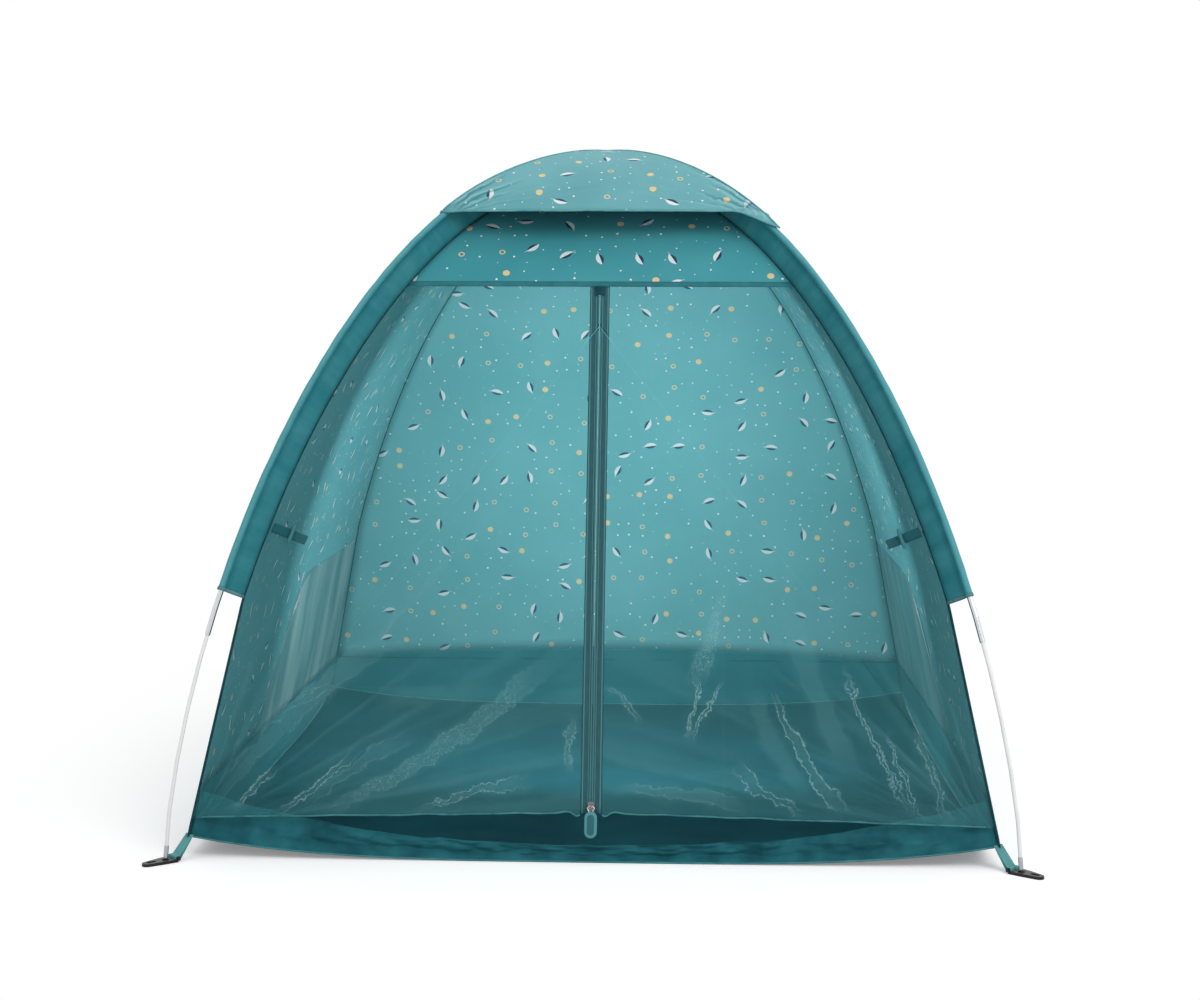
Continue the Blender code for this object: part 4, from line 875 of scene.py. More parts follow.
def wall(name, turn, low, high, look, wave, body=None, nodes=(), rows=WALL_ROWS, rise=0.0):
    out = turned_about_z(turn)

    def place(u, v):
        height = mix(low + rise * (1 - mix(-1, 1, v) ** 2), high, u)
        spread = half_width(height) - WALL_INSET
        return mix(-spread, spread, v), height

    def point(u, v):
        spread, height = place(u, v)
        return out @ Vector((spread, -half_width(height), height))

    def flat(u, v):
        spread, height = place(u, v)
        return spread + 1.0, profile_length(height)
    return sheet(name, steps(rows), steps(WALL_COLUMNS), point, flat,
                 out @ Vector((0, -1, 0)), look, body, nodes, CLOTH, wave)


def window_outline(margin):
    outline = [(WINDOW_FOOT[0] + margin, WINDOW_FOOT[1])]
    for share in steps(WINDOW_ARC_STEPS):
        y, z = (mix(mix(start, corner, share), mix(corner, end, share), share)
                for start, corner, end in zip(WINDOW_SHOULDER, WINDOW_CORNER, WINDOW_TOP))
        outline.append((y + margin, z - margin))
    outline.append((WINDOW_REAR[0], WINDOW_REAR[1] - margin))
    outline.append((WINDOW_REAR[0], WINDOW_FOOT[1] - WINDOW_OVERRUN))
    outline.append((WINDOW_FOOT[0] + margin - 20 * MM, WINDOW_FOOT[1] - WINDOW_OVERRUN))
    return outline


def window_block(side, margin):
    shape = bmesh.new()
    near, far = (
        [shape.verts.new((side * x, y, z)) for y, z in window_outline(margin)]
        for x in (FLOOR_SPAN / 2 - WINDOW_CUT_DEPTH / 2, FLOOR_SPAN / 2 + WINDOW_CUT_DEPTH / 2))
    shape.faces.new(near)
    shape.faces.new(far)
    for i in range(len(near)):
        j = (i + 1) % len(near)
        shape.faces.new((near[i], near[j], far[j], far[i]))
    bmesh.ops.recalc_face_normals(shape, faces=shape.faces)
    return new_object("window_block", mesh_of("window_block", shape))


def cut(thing, block, operation):
    boolean = thing.modifiers.new("Window", "BOOLEAN")
    boolean.operation = operation
    boolean.solver = "EXACT"
    boolean.object = block
    mesh = baked(thing)
    thing.modifiers.clear()
    thing.data = mesh
    bpy.data.objects.remove(block, do_unlink=True)


def side_wall(name, side, turn):
    made = wall(f"{name}_wall_cloth", turn, TUB_HEIGHT, BODY_TOP, f"{name}_print",
                wall_wave(3 + side, 5 * MM))
    whole = area_of(made)
    cut(made, window_block(side, 0), "DIFFERENCE")
    attach(made, "tent", f"wall_{name}")
    window = wall(f"{name}_window_net", turn, TUB_HEIGHT, WINDOW_NET_TOP,
                  "window_net" if side < 0 else "window_net_shade",
                  wall_wave(7 + side, 3 * MM), rows=24)
    cut(window, window_block(side, -1.0 * MM), "INTERSECT")
    attach(window, "tent", f"window_net_{name}")
    window_area = area_of(window) / 2
    slope = profile_length(BODY_TOP) - profile_length(TUB_HEIGHT)
    declare(made, (2 * half_width(TUB_HEIGHT), slope),
            whole - window_area)
    declare(window, (0.81, 0.28), window_area)
    edge = [(min(y, half_width(z) - 6 * MM), z) for y, z in window_outline(0)[:-2]]
    edge = [tuple(mix(a, b, i / 6) for a, b in zip(before, after))
            for before, after in zip(edge, edge[1:]) for i in range(6)] + edge[-1:]
    edge = [(side * (half_width(z) + BINDING_PROUD), y, z) for y, z in edge
            if z > TUB_HEIGHT + 2.5 * MM]
    tube(f"{name}_window_binding", edge, 1.3 * MM, "binding_tape", "tent")
    front = [place for place in edge if place[1] < -0.02]
    last = len(front) - 1
    widths = [WINDOW_FOLD_WIDTH * math.sin(math.pi * hold(i / last * 1.1 - 0.02)) ** 0.7
              * (0.7 + 0.8 * ripple_noise(i * 0.11, 2.0, 5 + side)) for i in range(last + 1)]

    def fold_point(u, v):
        at = round(u * last)
        _, y, z = front[at]
        return Vector((side * (half_width(z) - 1.2 * MM),
                       y + 1.5 * MM + v * max(widths[at], 0.3 * MM), z))
    sheet(f"{name}_window_fold", steps(last), steps(3), fold_point, (0.3, 9 * MM), (side, 0, 0),
          "window_fold", "tent", (), 0.3 * MM)


def edge_lift(share):
    return CORNER_LIFT * abs(share) ** CORNER_LIFT_POWER


def floor_cloth():
    reach = FLOOR_SPAN / 2 - 2.0 * MM
    size = (2 * reach, 2 * reach)

    def ripple(x, y):
        x, y = mix(-1, 1, x), mix(-1, 1, y)
        edge = min(1.0, 4 * (1 - max(abs(x), abs(y))))
        slow = ripple_noise(x * 2.2, y * 3.0, 11)
        fine = ripple_noise(x * 7 + y * 3, y * 6, 12)
        return -edge * (7 * MM * abs(slow) + 3 * MM * abs(fine))

    def point(u, v):
        x, y = mix(-1, 1, u), mix(-1, 1, v)
        return Vector((reach * x, reach * y,
                       0.4 * MM + edge_lift(x) * abs(y) ** CORNER_LIFT_POWER))
    made = sheet("floor_sheet", steps(FLOOR_STEPS), steps(FLOOR_STEPS), point, size, (0, 0, -1),
                 "floor_cloth", "tent", ["ground_sheet"], CLOTH, ripple)
    declare(made, size)


def tub_wall(name, turn, top, wall_y, look, ripple):
    out = turned_about_z(turn)

    def level(u, share):
        return mix(edge_lift(share), top(share), u)

    def point(u, v):
        share = mix(-1, 1, v)
        height = level(u, share)
        return out @ Vector((share * (half_width(height) - TUB_INSET), -wall_y(height), height))

    def flat(u, v):
        return mix(-1, 1, v) * FLOOR_SPAN / 2 + 1.0, level(u, mix(-1, 1, v))
    made = sheet(f"{name}_tub_cloth", steps(24), steps(220), point, flat,
                 out @ Vector((0, -1, 0)), look, "tent", [f"tub_wall_{name}"], CLOTH, ripple)
    declare(made, (FLOOR_SPAN, TUB_HEIGHT))


def lip_top(share):
    return mix(LIP_LOW_HEIGHT, TUB_HEIGHT, abs(share) ** LIP_RISE_POWER)


def lip_y(height):
    lean = hold((height - CORNER_HEIGHT) / LIP_LEAN_HEIGHT)
    behind = min(half_width(height), -door_y(height)) - LIP_CLEARANCE - CLOTH
    return mix(half_width(height), behind, lean)


def tub():
    def upright(seed):
        def ripple(u, v):
            edge = min(1.0, 12 * min(v, 1 - v)) * math.sin(math.pi * hold(u))
            return -edge * 5 * MM * abs(ripple_noise(v * 14, u * 1.5, seed))
        return ripple

    def crumple(u, v):
        edge = min(1.0, 16 * min(v, 1 - v)) * smooth(u * 2.5)
        sag = ripple_noise(v * 9, u * 0.8, 21)
        big = noise.voronoi(Vector((v * 24 + u * 1.2, u * 2.4 - v * 3, 5.0)))[0][0]
        small = noise.voronoi(Vector((v * 58 - u * 2, u * 5.0 + v * 7, 9.0)))[0][0]
        return -edge * MM * (4 * abs(sag) + 11 * hold(big) + 4 * hold(small))
    for seed, name, turn, rise in ((31, "left", LEFT_TURN, 0.0), (32, "right", RIGHT_TURN, 0.0),
                                   (33, "rear", REAR_TURN, REAR_BAND_RISE)):
        tub_wall(name, turn, lambda share, rise=rise: TUB_HEIGHT + rise * (1 - share ** 2),
                 half_width, "tub_cloth", upright(seed))
    tub_wall("front", FRONT_TURN, lip_top, lip_y, "lip_cloth", crumple)


def walls():
    for (name, side), turn in zip(SIDES, (LEFT_TURN, RIGHT_TURN)):
        side_wall(name, side, turn)
    for name, node, end, turn, low, look, wave, rows, rise in (
            ("rear_wall_cloth", "wall_rear", "rear", REAR_TURN, TUB_HEIGHT, "rear_print",
             wall_wave(5, 4 * MM), WALL_ROWS, REAR_BAND_RISE),
            ("header_cloth", "front_header", "front", FRONT_TURN, HEADER_HEIGHT, "header_print",
             wall_wave(9, 2.5 * MM), 20, 0.0)):
        made = wall(name, turn, low, BODY_TOP, look, wave, "tent", [node], rows, rise)
        declare(made, (2 * half_width(low), profile_length(BODY_TOP) - profile_length(low)))
    reach = CROWN_HALF_WIDTH + 3.0 * MM
    size = (2 * reach, 2 * reach)

    def point(u, v):
        return Vector((mix(-reach, reach, u), mix(-reach, reach, v), BODY_TOP + 1.3 * MM))
    crown = sheet("crown_cloth", steps(4), steps(4), point, size, (0, 0, 1), "rear_print", "tent",
                  ["crown_patch"])
    declare(crown, size)


# Sleeves and cap

SLEEVE_ROWS = 110
SLEEVE_FOLD_STEPS = 14
SLEEVE_LAYER_STEPS = 4
SLEEVE_LAYER_GAP = 1.2 * MM         # each layer's distance from the middle
SLEEVE_SWELL = 2.4 * MM
SLEEVE_TUCK = 0.6 * MM
SLEEVE_HEM_DEPTH = 5.0 * MM
SLEEVE_HEM_PROUD = 0.9 * MM


def sleeve(corner, angle, line):
    sideways = Vector((-math.sin(angle), math.cos(angle), 0))
    opening = math.asin(SLEEVE_LAYER_GAP / SLEEVE_RADIUS)
    columns = SLEEVE_LAYER_STEPS * 2 + SLEEVE_FOLD_STEPS
    seed = 41 + round(angle / DEGREE)
    length = ARCH_LENGTH * (SLEEVE_END_SHARE - SLEEVE_FOOT_SHARE)
    cut_width = 2 * SLEEVE_WIDTH + 24 * MM

    def outline(share, v, tuck, grow, bulge, pull):
        """Round the pole and along both layers. bulge and pull loosen a step of either."""
        centre = diagonal(angle, on_line(line, share))
        seam = diagonal(angle, on_line(SEAM, share))
        towards = (seam - centre).normalized()
        column = round(v * columns)
        if SLEEVE_LAYER_STEPS <= column <= SLEEVE_LAYER_STEPS + SLEEVE_FOLD_STEPS:
            turn = mix(opening, FULL_TURN - opening,
                       (column - SLEEVE_LAYER_STEPS) / SLEEVE_FOLD_STEPS)
            radius = (SLEEVE_RADIUS + grow) * bulge(turn)
            return (centre + towards * radius * math.cos(turn)
                    + sideways * radius * math.sin(turn))
        side = 1 if column < SLEEVE_LAYER_STEPS else -1
        step = column if side > 0 else columns - column
        width = (seam - centre).length + tuck
        run = mix(width, SLEEVE_RADIUS + grow, step / SLEEVE_LAYER_STEPS)
        swell = math.sin(math.pi * step / SLEEVE_LAYER_STEPS) * SLEEVE_SWELL * pull(step, side)
        return centre + towards * run + sideways * side * (SLEEVE_LAYER_GAP + grow + swell)

    def point(u, v):
        return outline(mix(SLEEVE_FOOT_SHARE, SLEEVE_END_SHARE, u), v, SLEEVE_TUCK, 0.0,
                       lambda turn: 1 + 0.12 * ripple_noise(u * 30, turn, seed + 1),
                       lambda step, side: 1 + 1.1 * ripple_noise(u * 34 + step * 0.9,
                                                                 side * 3.0, seed))

    def hem_point(u, v):
        return outline(SLEEVE_FOOT_SHARE + u * SLEEVE_HEM_DEPTH / ARCH_LENGTH, v, 0.0,
                       SLEEVE_HEM_PROUD, lambda turn: 1, lambda step, side: 1)
    made = sheet(f"{corner}_sleeve_cloth", steps(SLEEVE_ROWS), steps(columns), point,
                 (length, cut_width), diagonal(angle, (1, 1)), "sleeve_cloth", "tent",
                 [f"pole_sleeve_{corner}"])
    declare(made, (length, cut_width))
    sheet(f"{corner}_sleeve_hem", steps(3), steps(columns), hem_point, (0.014, cut_width),
          diagonal(angle, (1, 1)), "sleeve_hem", "tent")


CAP_CORNER_SPREAD = 261.0 * MM
CAP_BRIM_BULGE = 22.0 * MM
CAP_LIFT = 8.5 * MM
CAP_ROWS = 44
CAP_SIDE_STEPS = 44
CAP_TOP_SHARE = 0.985
CAP_SLOPE_LENGTH = 330.0 * MM
CAP_SPAN = 620.0 * MM
CAP_DOME = 1.5 * MM                 # how far the cap stands proud over the crossing
CAP_SETTLE = 5.0 * MM               # and how far the whole crown lies down on the poles
CAP_DROOP = 46.0 * MM               # the loose front right corner, down the sleeve
# each fold at a corner: degrees up from the brim, length in metres, depth in millimetres
CAP_FOLDS = ((9, 0.14, 3.0), (21, 0.2, 6.0), (33, 0.17, 5.0), (50, 0.13, 4.0))


def share_at_spread(spread):
    """How far up the pole it comes in to a distance from the middle, along the tent's sides."""
    for i, (outer, inner) in enumerate(zip(UPPER_POLE, UPPER_POLE[1:])):
        if outer.x > spread * math.sqrt(2) >= inner.x:
            return (i + (outer.x - spread * math.sqrt(2)) / (outer.x - inner.x)) / STATIONS
    return 0.0


def cap_point(row, turn, brim_share=share_at_spread(CAP_CORNER_SPREAD)):
    """row is 0 at the brim and 1 at the top, turn runs round the four sides from the front
    left corner."""
    side = int(turn // 1) % 4
    across = mix(-1, 1, turn % 1)
    loose = across if side == 0 else -across if side == 1 else 0.0
    droop = CAP_DROOP / ARCH_LENGTH * hold((loose - 0.84) / 0.16) ** 1.3
    share = mix(brim_share - droop, CAP_TOP_SHARE, row)
    point = on_line(UPPER_POLE, share) - inward(share) * CAP_LIFT
    spread = point.x / math.sqrt(2)
    bulge = CAP_BRIM_BULGE * (1 - across ** 2) * (1 - row) ** 2
    sag = -2.0 * MM * (1 - across ** 2) * math.sin(math.pi * row)
    pull = ripple_noise(across * 5, row * 3, 61 + side)
    fine = ripple_noise(across * 16 + row * 4, row * 6, 71 + side)
    wave = (2.2 * pull + 0.9 * fine) * MM * (1 - abs(across) ** 6) * (1 - row * 0.7) * (
        0.3 + 0.7 * smooth(row * 7))
    beside, above = (1 - abs(across)) * spread, row * CAP_SLOPE_LENGTH
    away = math.hypot(beside, above)
    rise = math.atan2(above, beside + 1 * MM)
    which = side + (4 if across > 0 else 0)
    for number, (degrees, reach, depth) in enumerate(CAP_FOLDS):
        turned = degrees * DEGREE * (1 + 0.22 * ripple_noise(number * 3.1, away * 4, which))
        off = abs(away * math.sin(rise - turned)) / (5 * MM + 0.03 * away)
        taper = hold(away / 0.02) * hold(1.25 - away / reach)
        wave -= depth * MM * taper * hold(1 - off) ** 1.3
    dome = CAP_DOME * hold(1 - (spread / 0.1) ** 2) ** 2 - CAP_SETTLE * smooth(row * 1.6)
    return turned_about_z(side * FULL_TURN / 4) @ Vector((
        spread * across, -spread - bulge, point.y + sag + wave + dome))


def cap():
    """Four-sided dome with a crown that the poles hold up, and a hem along its brim."""
    around = 4 * CAP_SIDE_STEPS

    def point(u, v):
        return cap_point(u, v * 4 if v < 1 else 0.0)

    def flat(u, v):
        where = point(u, v)
        return where.x + FLAT_MIDDLE, where.y + FLAT_MIDDLE
    made = sheet("cap_cloth", steps(CAP_ROWS), steps(around), point, flat, (0, 0, 1),
                 "cap_print", None, (), 0)
    shape = bmesh.new()
    shape.from_mesh(made.data)
    bmesh.ops.remove_doubles(shape, verts=shape.verts, dist=0.2 * MM)
    top = max(vertex.co.z for vertex in shape.verts)
    rim = [edge for edge in shape.edges if edge.is_boundary
           and min(vertex.co.z for vertex in edge.verts) > top - 12 * MM]
    centre = shape.verts.new((0, 0, top + 0.2 * MM))
    layer = shape.loops.layers.uv["cloth"]
    for edge in rim:
        face = shape.faces.new((edge.verts[0], edge.verts[1], centre))
        face.smooth = True
        for loop in face.loops:
            loop[layer].uv = (loop.vert.co.x + FLAT_MIDDLE, loop.vert.co.y + FLAT_MIDDLE)
    bmesh.ops.recalc_face_normals(shape, faces=shape.faces)
    if sum(face.normal.z * face.calc_area() for face in shape.faces) < 0:
        bmesh.ops.reverse_faces(shape, faces=shape.faces)
    shape.to_mesh(made.data)
    shape.free()
    solid = made.modifiers.new("Thickness", "SOLIDIFY")
    solid.thickness = CLOTH
    solid.offset = -1
    attach(made, "tent", "roof_cap")
    declare(made, (CAP_SPAN, CAP_SPAN))
    hem = [cap_point(0.0, 4 * i / around) - Vector((0, 0, 0.4 * MM)) for i in range(around)]
    tube("cap_brim_cord", hem, 1.5 * MM, "cap_seam", "tent", cyclic=True)
    for side in range(4):
        seam = [cap_point(mix(0.015, 1.0, share), side) + Vector((0, 0, 0.3 * MM))
                for share in steps(50)]
        seam.append(Vector((0, 0, top + 0.5 * MM)))
        tube(f"cap_ridge_seam_{side}", seam, 1.1 * MM, "cap_seam", "tent")


# Net front

NET_ROWS = 60
NET_COLUMNS = 60
NET_DEPTH = 0.4 * MM                # of the door net behind its plane
HEM_DEPTH = 2.6 * MM
TAPE_THICKNESS = 0.6 * MM
CHAIN_OFFSET = 1.9 * MM
CHAIN_LIFT = 1.35 * MM
CHAIN_RADIUS = 1.0 * MM


def on_door(side, spread, reach, lift):
    return DOOR_FRAME @ Vector((side * spread, reach, lift))


def door_wave(side, spread, reach):
    """Slack folds of a door half, which fan out of its lower corner and die out at its edges."""
    room = min(1.0, (fold_spread(reach) - spread) / 0.08, (spread - TAPE_HALF_WIDTH) / 0.03)
    fan_x = FOLD_FOOT_SPREAD - spread
    angle = math.atan2(max(reach, 0.001), max(fan_x, 0.001))
    distance = math.hypot(fan_x, reach)
    folds = ripple_noise(angle * 9, distance * 2.0, 81 + side)
    fine = ripple_noise(angle * 22, distance * 3.0, 84 + side)
    return max(room, 0.0) * hold(1.15 - reach / 0.55) * MM * (5 * folds + 1.6 * fine)


def nets(name, side):
    """The net of a door half, and the fixed net beside it."""
    def door_place(u, v):
        spread = mix(TAPE_HALF_WIDTH + SEAM_GAP, FOLD_FOOT_SPREAD - 1 * MM, v)
        return spread, mix(hem_reach(spread), fold_reach(spread + SEAM_GAP), u)

    def door_point(u, v):
        spread, reach = door_place(u, v)
        return on_door(side, spread, reach, door_wave(side, spread, reach) - NET_DEPTH)

    def door_flat(u, v):
        spread, reach = door_place(u, v)
        return FLAT_MIDDLE + side * spread, 1.0 + reach
    net = sheet(f"{name}_door_net", steps(NET_ROWS),
                [share ** 1.5 for share in steps(NET_COLUMNS)], door_point, door_flat,
                OUT_OF_DOOR, f"{name}_net", f"door_{name}", [f"door_net_{name}"], 0)
    declare(net, (FOLD_FOOT_SPREAD, FOLD_TOP_REACH - FOLD_FOOT_REACH))

    def side_place(u, v):
        height = mix(FOLD_FOOT_HEIGHT, HEADER_HEIGHT, u)
        inner = max(fold_spread(reach_at(height)), TAPE_HALF_WIDTH + SEAM_GAP)
        return mix(inner, half_width(height) - 1.5 * MM, v), height

    def side_point(u, v):
        spread, height = side_place(u, v)
        room = min(1.0, 6 * min(v, 1 - v)) * hold(1.1 - height / 0.6)
        folds = abs(ripple_noise(v * 4, height * 9 + v * 2, 91 + side))
        return side_net_point(side, spread, height) + Vector((0, 4 * MM * room * folds, 0))

    def side_flat(u, v):
        spread, height = side_place(u, v)
        return FLAT_MIDDLE + side * spread, 1.0 + reach_at(height)
    net = sheet(f"{name}_side_net", steps(NET_ROWS), steps(NET_COLUMNS // 3), side_point,
                side_flat, (0, -1, 0), f"{name}_net", "tent", [f"side_net_{name}"], 0)
    declare(net, (FOLD_FOOT_SPREAD + 0.01, FOLD_TOP_REACH - FOLD_FOOT_REACH + 0.1))


def zip_and_hem(name, side):
    """A door half's hem and zip tape, and the zip's top end above it."""
    def hem_point(u, v):
        spread = mix(TAPE_HALF_WIDTH + SEAM_GAP, FOLD_FOOT_SPREAD - 10 * MM, u)
        reach = hem_reach(spread) + v * HEM_DEPTH
        return on_door(side, spread, reach, door_wave(side, spread, reach) + 0.5 * MM)
    sheet(f"{name}_net_hem", [share ** 1.5 for share in steps(90)], steps(2), hem_point,
          (FOLD_FOOT_SPREAD, HEM_DEPTH), OUT_OF_DOOR, "hem_tape", f"door_{name}", (), 0.4 * MM)

    def tape_point(u, v):
        spread = mix(CHAIN_SLOT, TAPE_HALF_WIDTH, v)
        reach = u * fold_reach(spread + SEAM_GAP + 0.3 * MM)
        wobble = 1.1 * MM * ripple_noise(reach * 30, spread * 40, 101) * hold(
            (spread - 4 * MM) / (8 * MM)) * hold(1.2 - reach / 0.25)
        return on_door(side, spread, reach, wobble)
    tape = sheet(f"{name}_zip_tape", steps(60), steps(6), tape_point,
                 (FOLD_TOP_REACH, TAPE_HALF_WIDTH), OUT_OF_DOOR, "zip_tape", f"door_{name}",
                 [f"zip_tape_{name}"], TAPE_THICKNESS)
    declare(tape, (FOLD_TOP_REACH, TAPE_HALF_WIDTH - CHAIN_SLOT))

    def head_point(u, v):
        spread = mix(CHAIN_SLOT, TAPE_HALF_WIDTH, v)
        low = fold_reach(spread - SEAM_GAP)
        return on_door(side, spread, mix(low, DOOR_LENGTH - 0.15 * MM, u), 0)
    head = sheet(f"{name}_zip_head", steps(10), steps(6), head_point,
                 lambda u, v: (0.8 + u * 0.07, v * TAPE_HALF_WIDTH), OUT_OF_DOOR, "zip_tape",
                 "tent", ["zip_head"] if side < 0 else [], TAPE_THICKNESS)
    if side < 0:
        declare(head, (DOOR_LENGTH - FOLD_TOP_REACH + 2 * MM, TAPE_HALF_WIDTH))
    chain = [on_door(side, CHAIN_OFFSET, reach, CHAIN_LIFT)
             for reach in (FOLD_TOP_REACH + 4 * MM, SLIDER_TOP_REACH + 7 * MM)]
    tube(f"{name}_zip_head_chain", chain, CHAIN_RADIUS, "zip_coil", "tent")


def rounded_bar(name, low, high, corner, look, body):
    """A small bar with rounded edges, between two corners in the door's frame."""
    shape = bmesh.new()
    bmesh.ops.create_cube(shape, size=1)
    low, high = Vector(low), Vector(high)
    for vertex in shape.verts:
        vertex.co = DOOR_FRAME @ (low + Vector((high[i] - low[i]) * (vertex.co[i] + 0.5)
                                               for i in range(3)))
    bmesh.ops.bevel(shape, geom=shape.edges[:], offset=corner, segments=3, profile=0.5,
                    affect="EDGES")
    attach(new_piece(name, mesh_of(name, shape), look), body)


# Bindings, the seams' dark lines

SEAM_STEPS = 70
BINDING_TOP = BODY_TOP - 20 * MM
BINDING_RADIUS = 1.3 * MM


def bindings():
    for name, side in SIDES:
        for place, end, push, radius in (("front", -1, -0.2 * MM, 2.1 * MM),
                                         ("rear", 1, -0.6 * MM, 1.9 * MM)):
            heights = [mix(CORNER_LIFT, BINDING_TOP, share) for share in steps(SEAM_STEPS)]
            line = [(side * (half_width(height) + push), end * (half_width(height) + push),
                     height) for height in heights]
            tube(f"{place}_{name}_binding", line, radius, "binding_tape", "tent")
    for name, turn in (("front", FRONT_TURN), ("left", LEFT_TURN), ("right", RIGHT_TURN),
                       ("rear", REAR_TURN)):
        out = turned_about_z(turn)
        edge = [out @ Vector((mix(-1, 1, share) * (FLOOR_SPAN / 2 - 2 * MM),
                              -FLOOR_SPAN / 2 + 0.6 * MM,
                              1.3 * MM + edge_lift(mix(-1, 1, share)))) for share in steps(60)]
        tube(f"{name}_floor_edge", edge, 1.25 * MM, "floor_edge", "tent")
        if name != "front":
            seam = [out @ Vector((mix(-1, 1, share) * (half_width(TUB_HEIGHT) - 2 * MM),
                                  -half_width(TUB_HEIGHT) + 0.3 * MM, TUB_HEIGHT))
                    for share in steps(20)]
            tube(f"{name}_tub_seam", seam, BINDING_RADIUS, "binding_tape", "tent")

    def hem_point(u, v):
        height = HEADER_HEIGHT + mix(-1.0, 7.5, v) * MM
        spread = half_width(height) - 2.5 * MM
        return Vector((mix(-spread, spread, u), -half_width(height) - 0.5 * MM, height))
    sheet("header_hem", steps(40), steps(2), hem_point, (0.6, 8.5 * MM), (0, -1, 0),
          "header_hem", "tent", (), 0.4 * MM)


# Straps of the corners and the tie-backs

STRAP_HALF_WIDTH = 10.0 * MM
STRAP_THICKNESS = 1.1 * MM
PLATE_INNER_END = 18.0 * MM
STRAP_BAR_WIDTH = 4.5 * MM
STRAP_BAR_BOTTOM = 2.2 * MM
STRAP_BAR_TOP = 7.0 * MM
STRAP_OFF = 0.45 * MM + STRAP_THICKNESS / 2
TIE_HEIGHT = 495.0 * MM
TIE_SLOPE = 24 * DEGREE
TIE_START = 1.2 * MM
TIE_HALF_WIDTH = 7.0 * MM


def rounded_line(corners, radius, count=6):
    """A line through its corners, each turned by an arc of about that radius."""
    corners = [Vector(corner) for corner in corners]
    line = corners[:1]
    for before, corner, after in zip(corners, corners[1:], corners[2:]):
        reach = min(radius, (corner - before).length * 0.45, (after - corner).length * 0.45)
        start = corner + (before - corner).normalized() * reach
        end = corner + (after - corner).normalized() * reach
        line += [mix(mix(start, corner, share), mix(corner, end, share), share)
                 for share in steps(count)]
    return line + corners[-1:]


def corner_strap(corner, angle):
    inner = -PLATE_INNER_END
    outer = inner + STRAP_BAR_WIDTH
    top, bottom = STRAP_BAR_TOP + STRAP_OFF, STRAP_BAR_BOTTOM - STRAP_OFF
    sewn = FLOOR_SPAN / 2 * math.sqrt(2) + 0.5 * MM - UPPER_POLE[0].x
    line = rounded_line([
        (sewn - 4 * MM, CORNER_LIFT + 3.6 * MM), (inner - STRAP_OFF, top),
        (outer + STRAP_OFF, top), (outer + STRAP_OFF, bottom), (inner - STRAP_OFF, bottom),
        (sewn, CORNER_LIFT - 1.3 * MM)], 1.6 * MM)
    runs = run_lengths(line)
    plate = Matrix.Translation(diagonal(angle, (UPPER_POLE[0].x, 0))) @ turned_about_z(angle)
    count = len(line) - 1

    def point(u, v):
        out, height = line[round(u * count)]
        return plate @ Vector((out, mix(-1, 1, v) * STRAP_HALF_WIDTH, height))
    made = sheet(f"{corner}_strap", steps(count), steps(4), point,
                 lambda u, v: (runs[round(u * count)], v * 2 * STRAP_HALF_WIDTH), (0, 0, 0),
                 "light_webbing", "tent", [f"corner_strap_{corner}"], STRAP_THICKNESS)
    made.modifiers["Thickness"].offset = 0
    declare(made, (runs[-1], 2 * STRAP_HALF_WIDTH))


def faceted_square(share):
    """The square of a share, straight between the columns of the part's side net."""
    step = 1 / SIDE_NET_COLUMNS
    before = min(math.floor(share / step), SIDE_NET_COLUMNS - 1) * step
    return mix(before ** 2, (before + step) ** 2, (share - before) / step)


def tie_point(side, run, across, lift):
    """A point beside the front seam: run along the strap, across it, and out of the net."""
    along = Vector((-math.cos(TIE_SLOPE), -math.sin(TIE_SLOPE)))
    square = Vector((math.sin(TIE_SLOPE), -math.cos(TIE_SLOPE)))
    spot = Vector((half_width(TIE_HEIGHT) - 5 * MM, TIE_HEIGHT)) + along * run + square * across
    step = 0.5 * MM
    here, above, beside = (
        side_net_point(side, spot.x + x, spot.y + y, faceted_square)
        for x, y in ((0, 0), (0, step), (step, 0)))
    normal = (above - here).cross(beside - here).normalized()
    return here + normal * lift * (-1 if normal.y > 0 else 1)


def tie_back(name, side):
    for kind, rows, length, lift, look, body in (
            ("strap", 16, 36.0 * MM, 1.8 * MM, "dark_webbing", f"tie_{name}"),
            ("loop", 20, 55.0 * MM, -1.5 * MM, "loop_webbing", "tent")):
        size = (length, 2 * TIE_HALF_WIDTH)

        def point(u, v):
            return tie_point(side, mix(TIE_START, length, u),
                             mix(-TIE_HALF_WIDTH, TIE_HALF_WIDTH, v), lift)
        made = sheet(f"{name}_tie_{kind}", steps(rows), steps(4), point, size, (0, -1, 0), look,
                     body, [f"tie_{kind}_{name}"], 1.0 * MM)
        declare(made, size)


# Pull tab and the hard pieces

SLIDER_REST_REACH = 10.0 * MM
PULL_HINGE_LIFT = 5.5 * MM          # from the door plane to the pull's hinge
PULL_TOP = 7.8 * MM
PULL_LENGTH = 40.0 * MM
PULL_HALF_WIDTH = 9.5 * MM
PULL_HALF_THICKNESS = 1.5 * MM
PULL_INSET = 4.0 * MM
PULL_FRAME = DOOR_FRAME @ Matrix.Translation((0, SLIDER_REST_REACH, PULL_HINGE_LIFT))


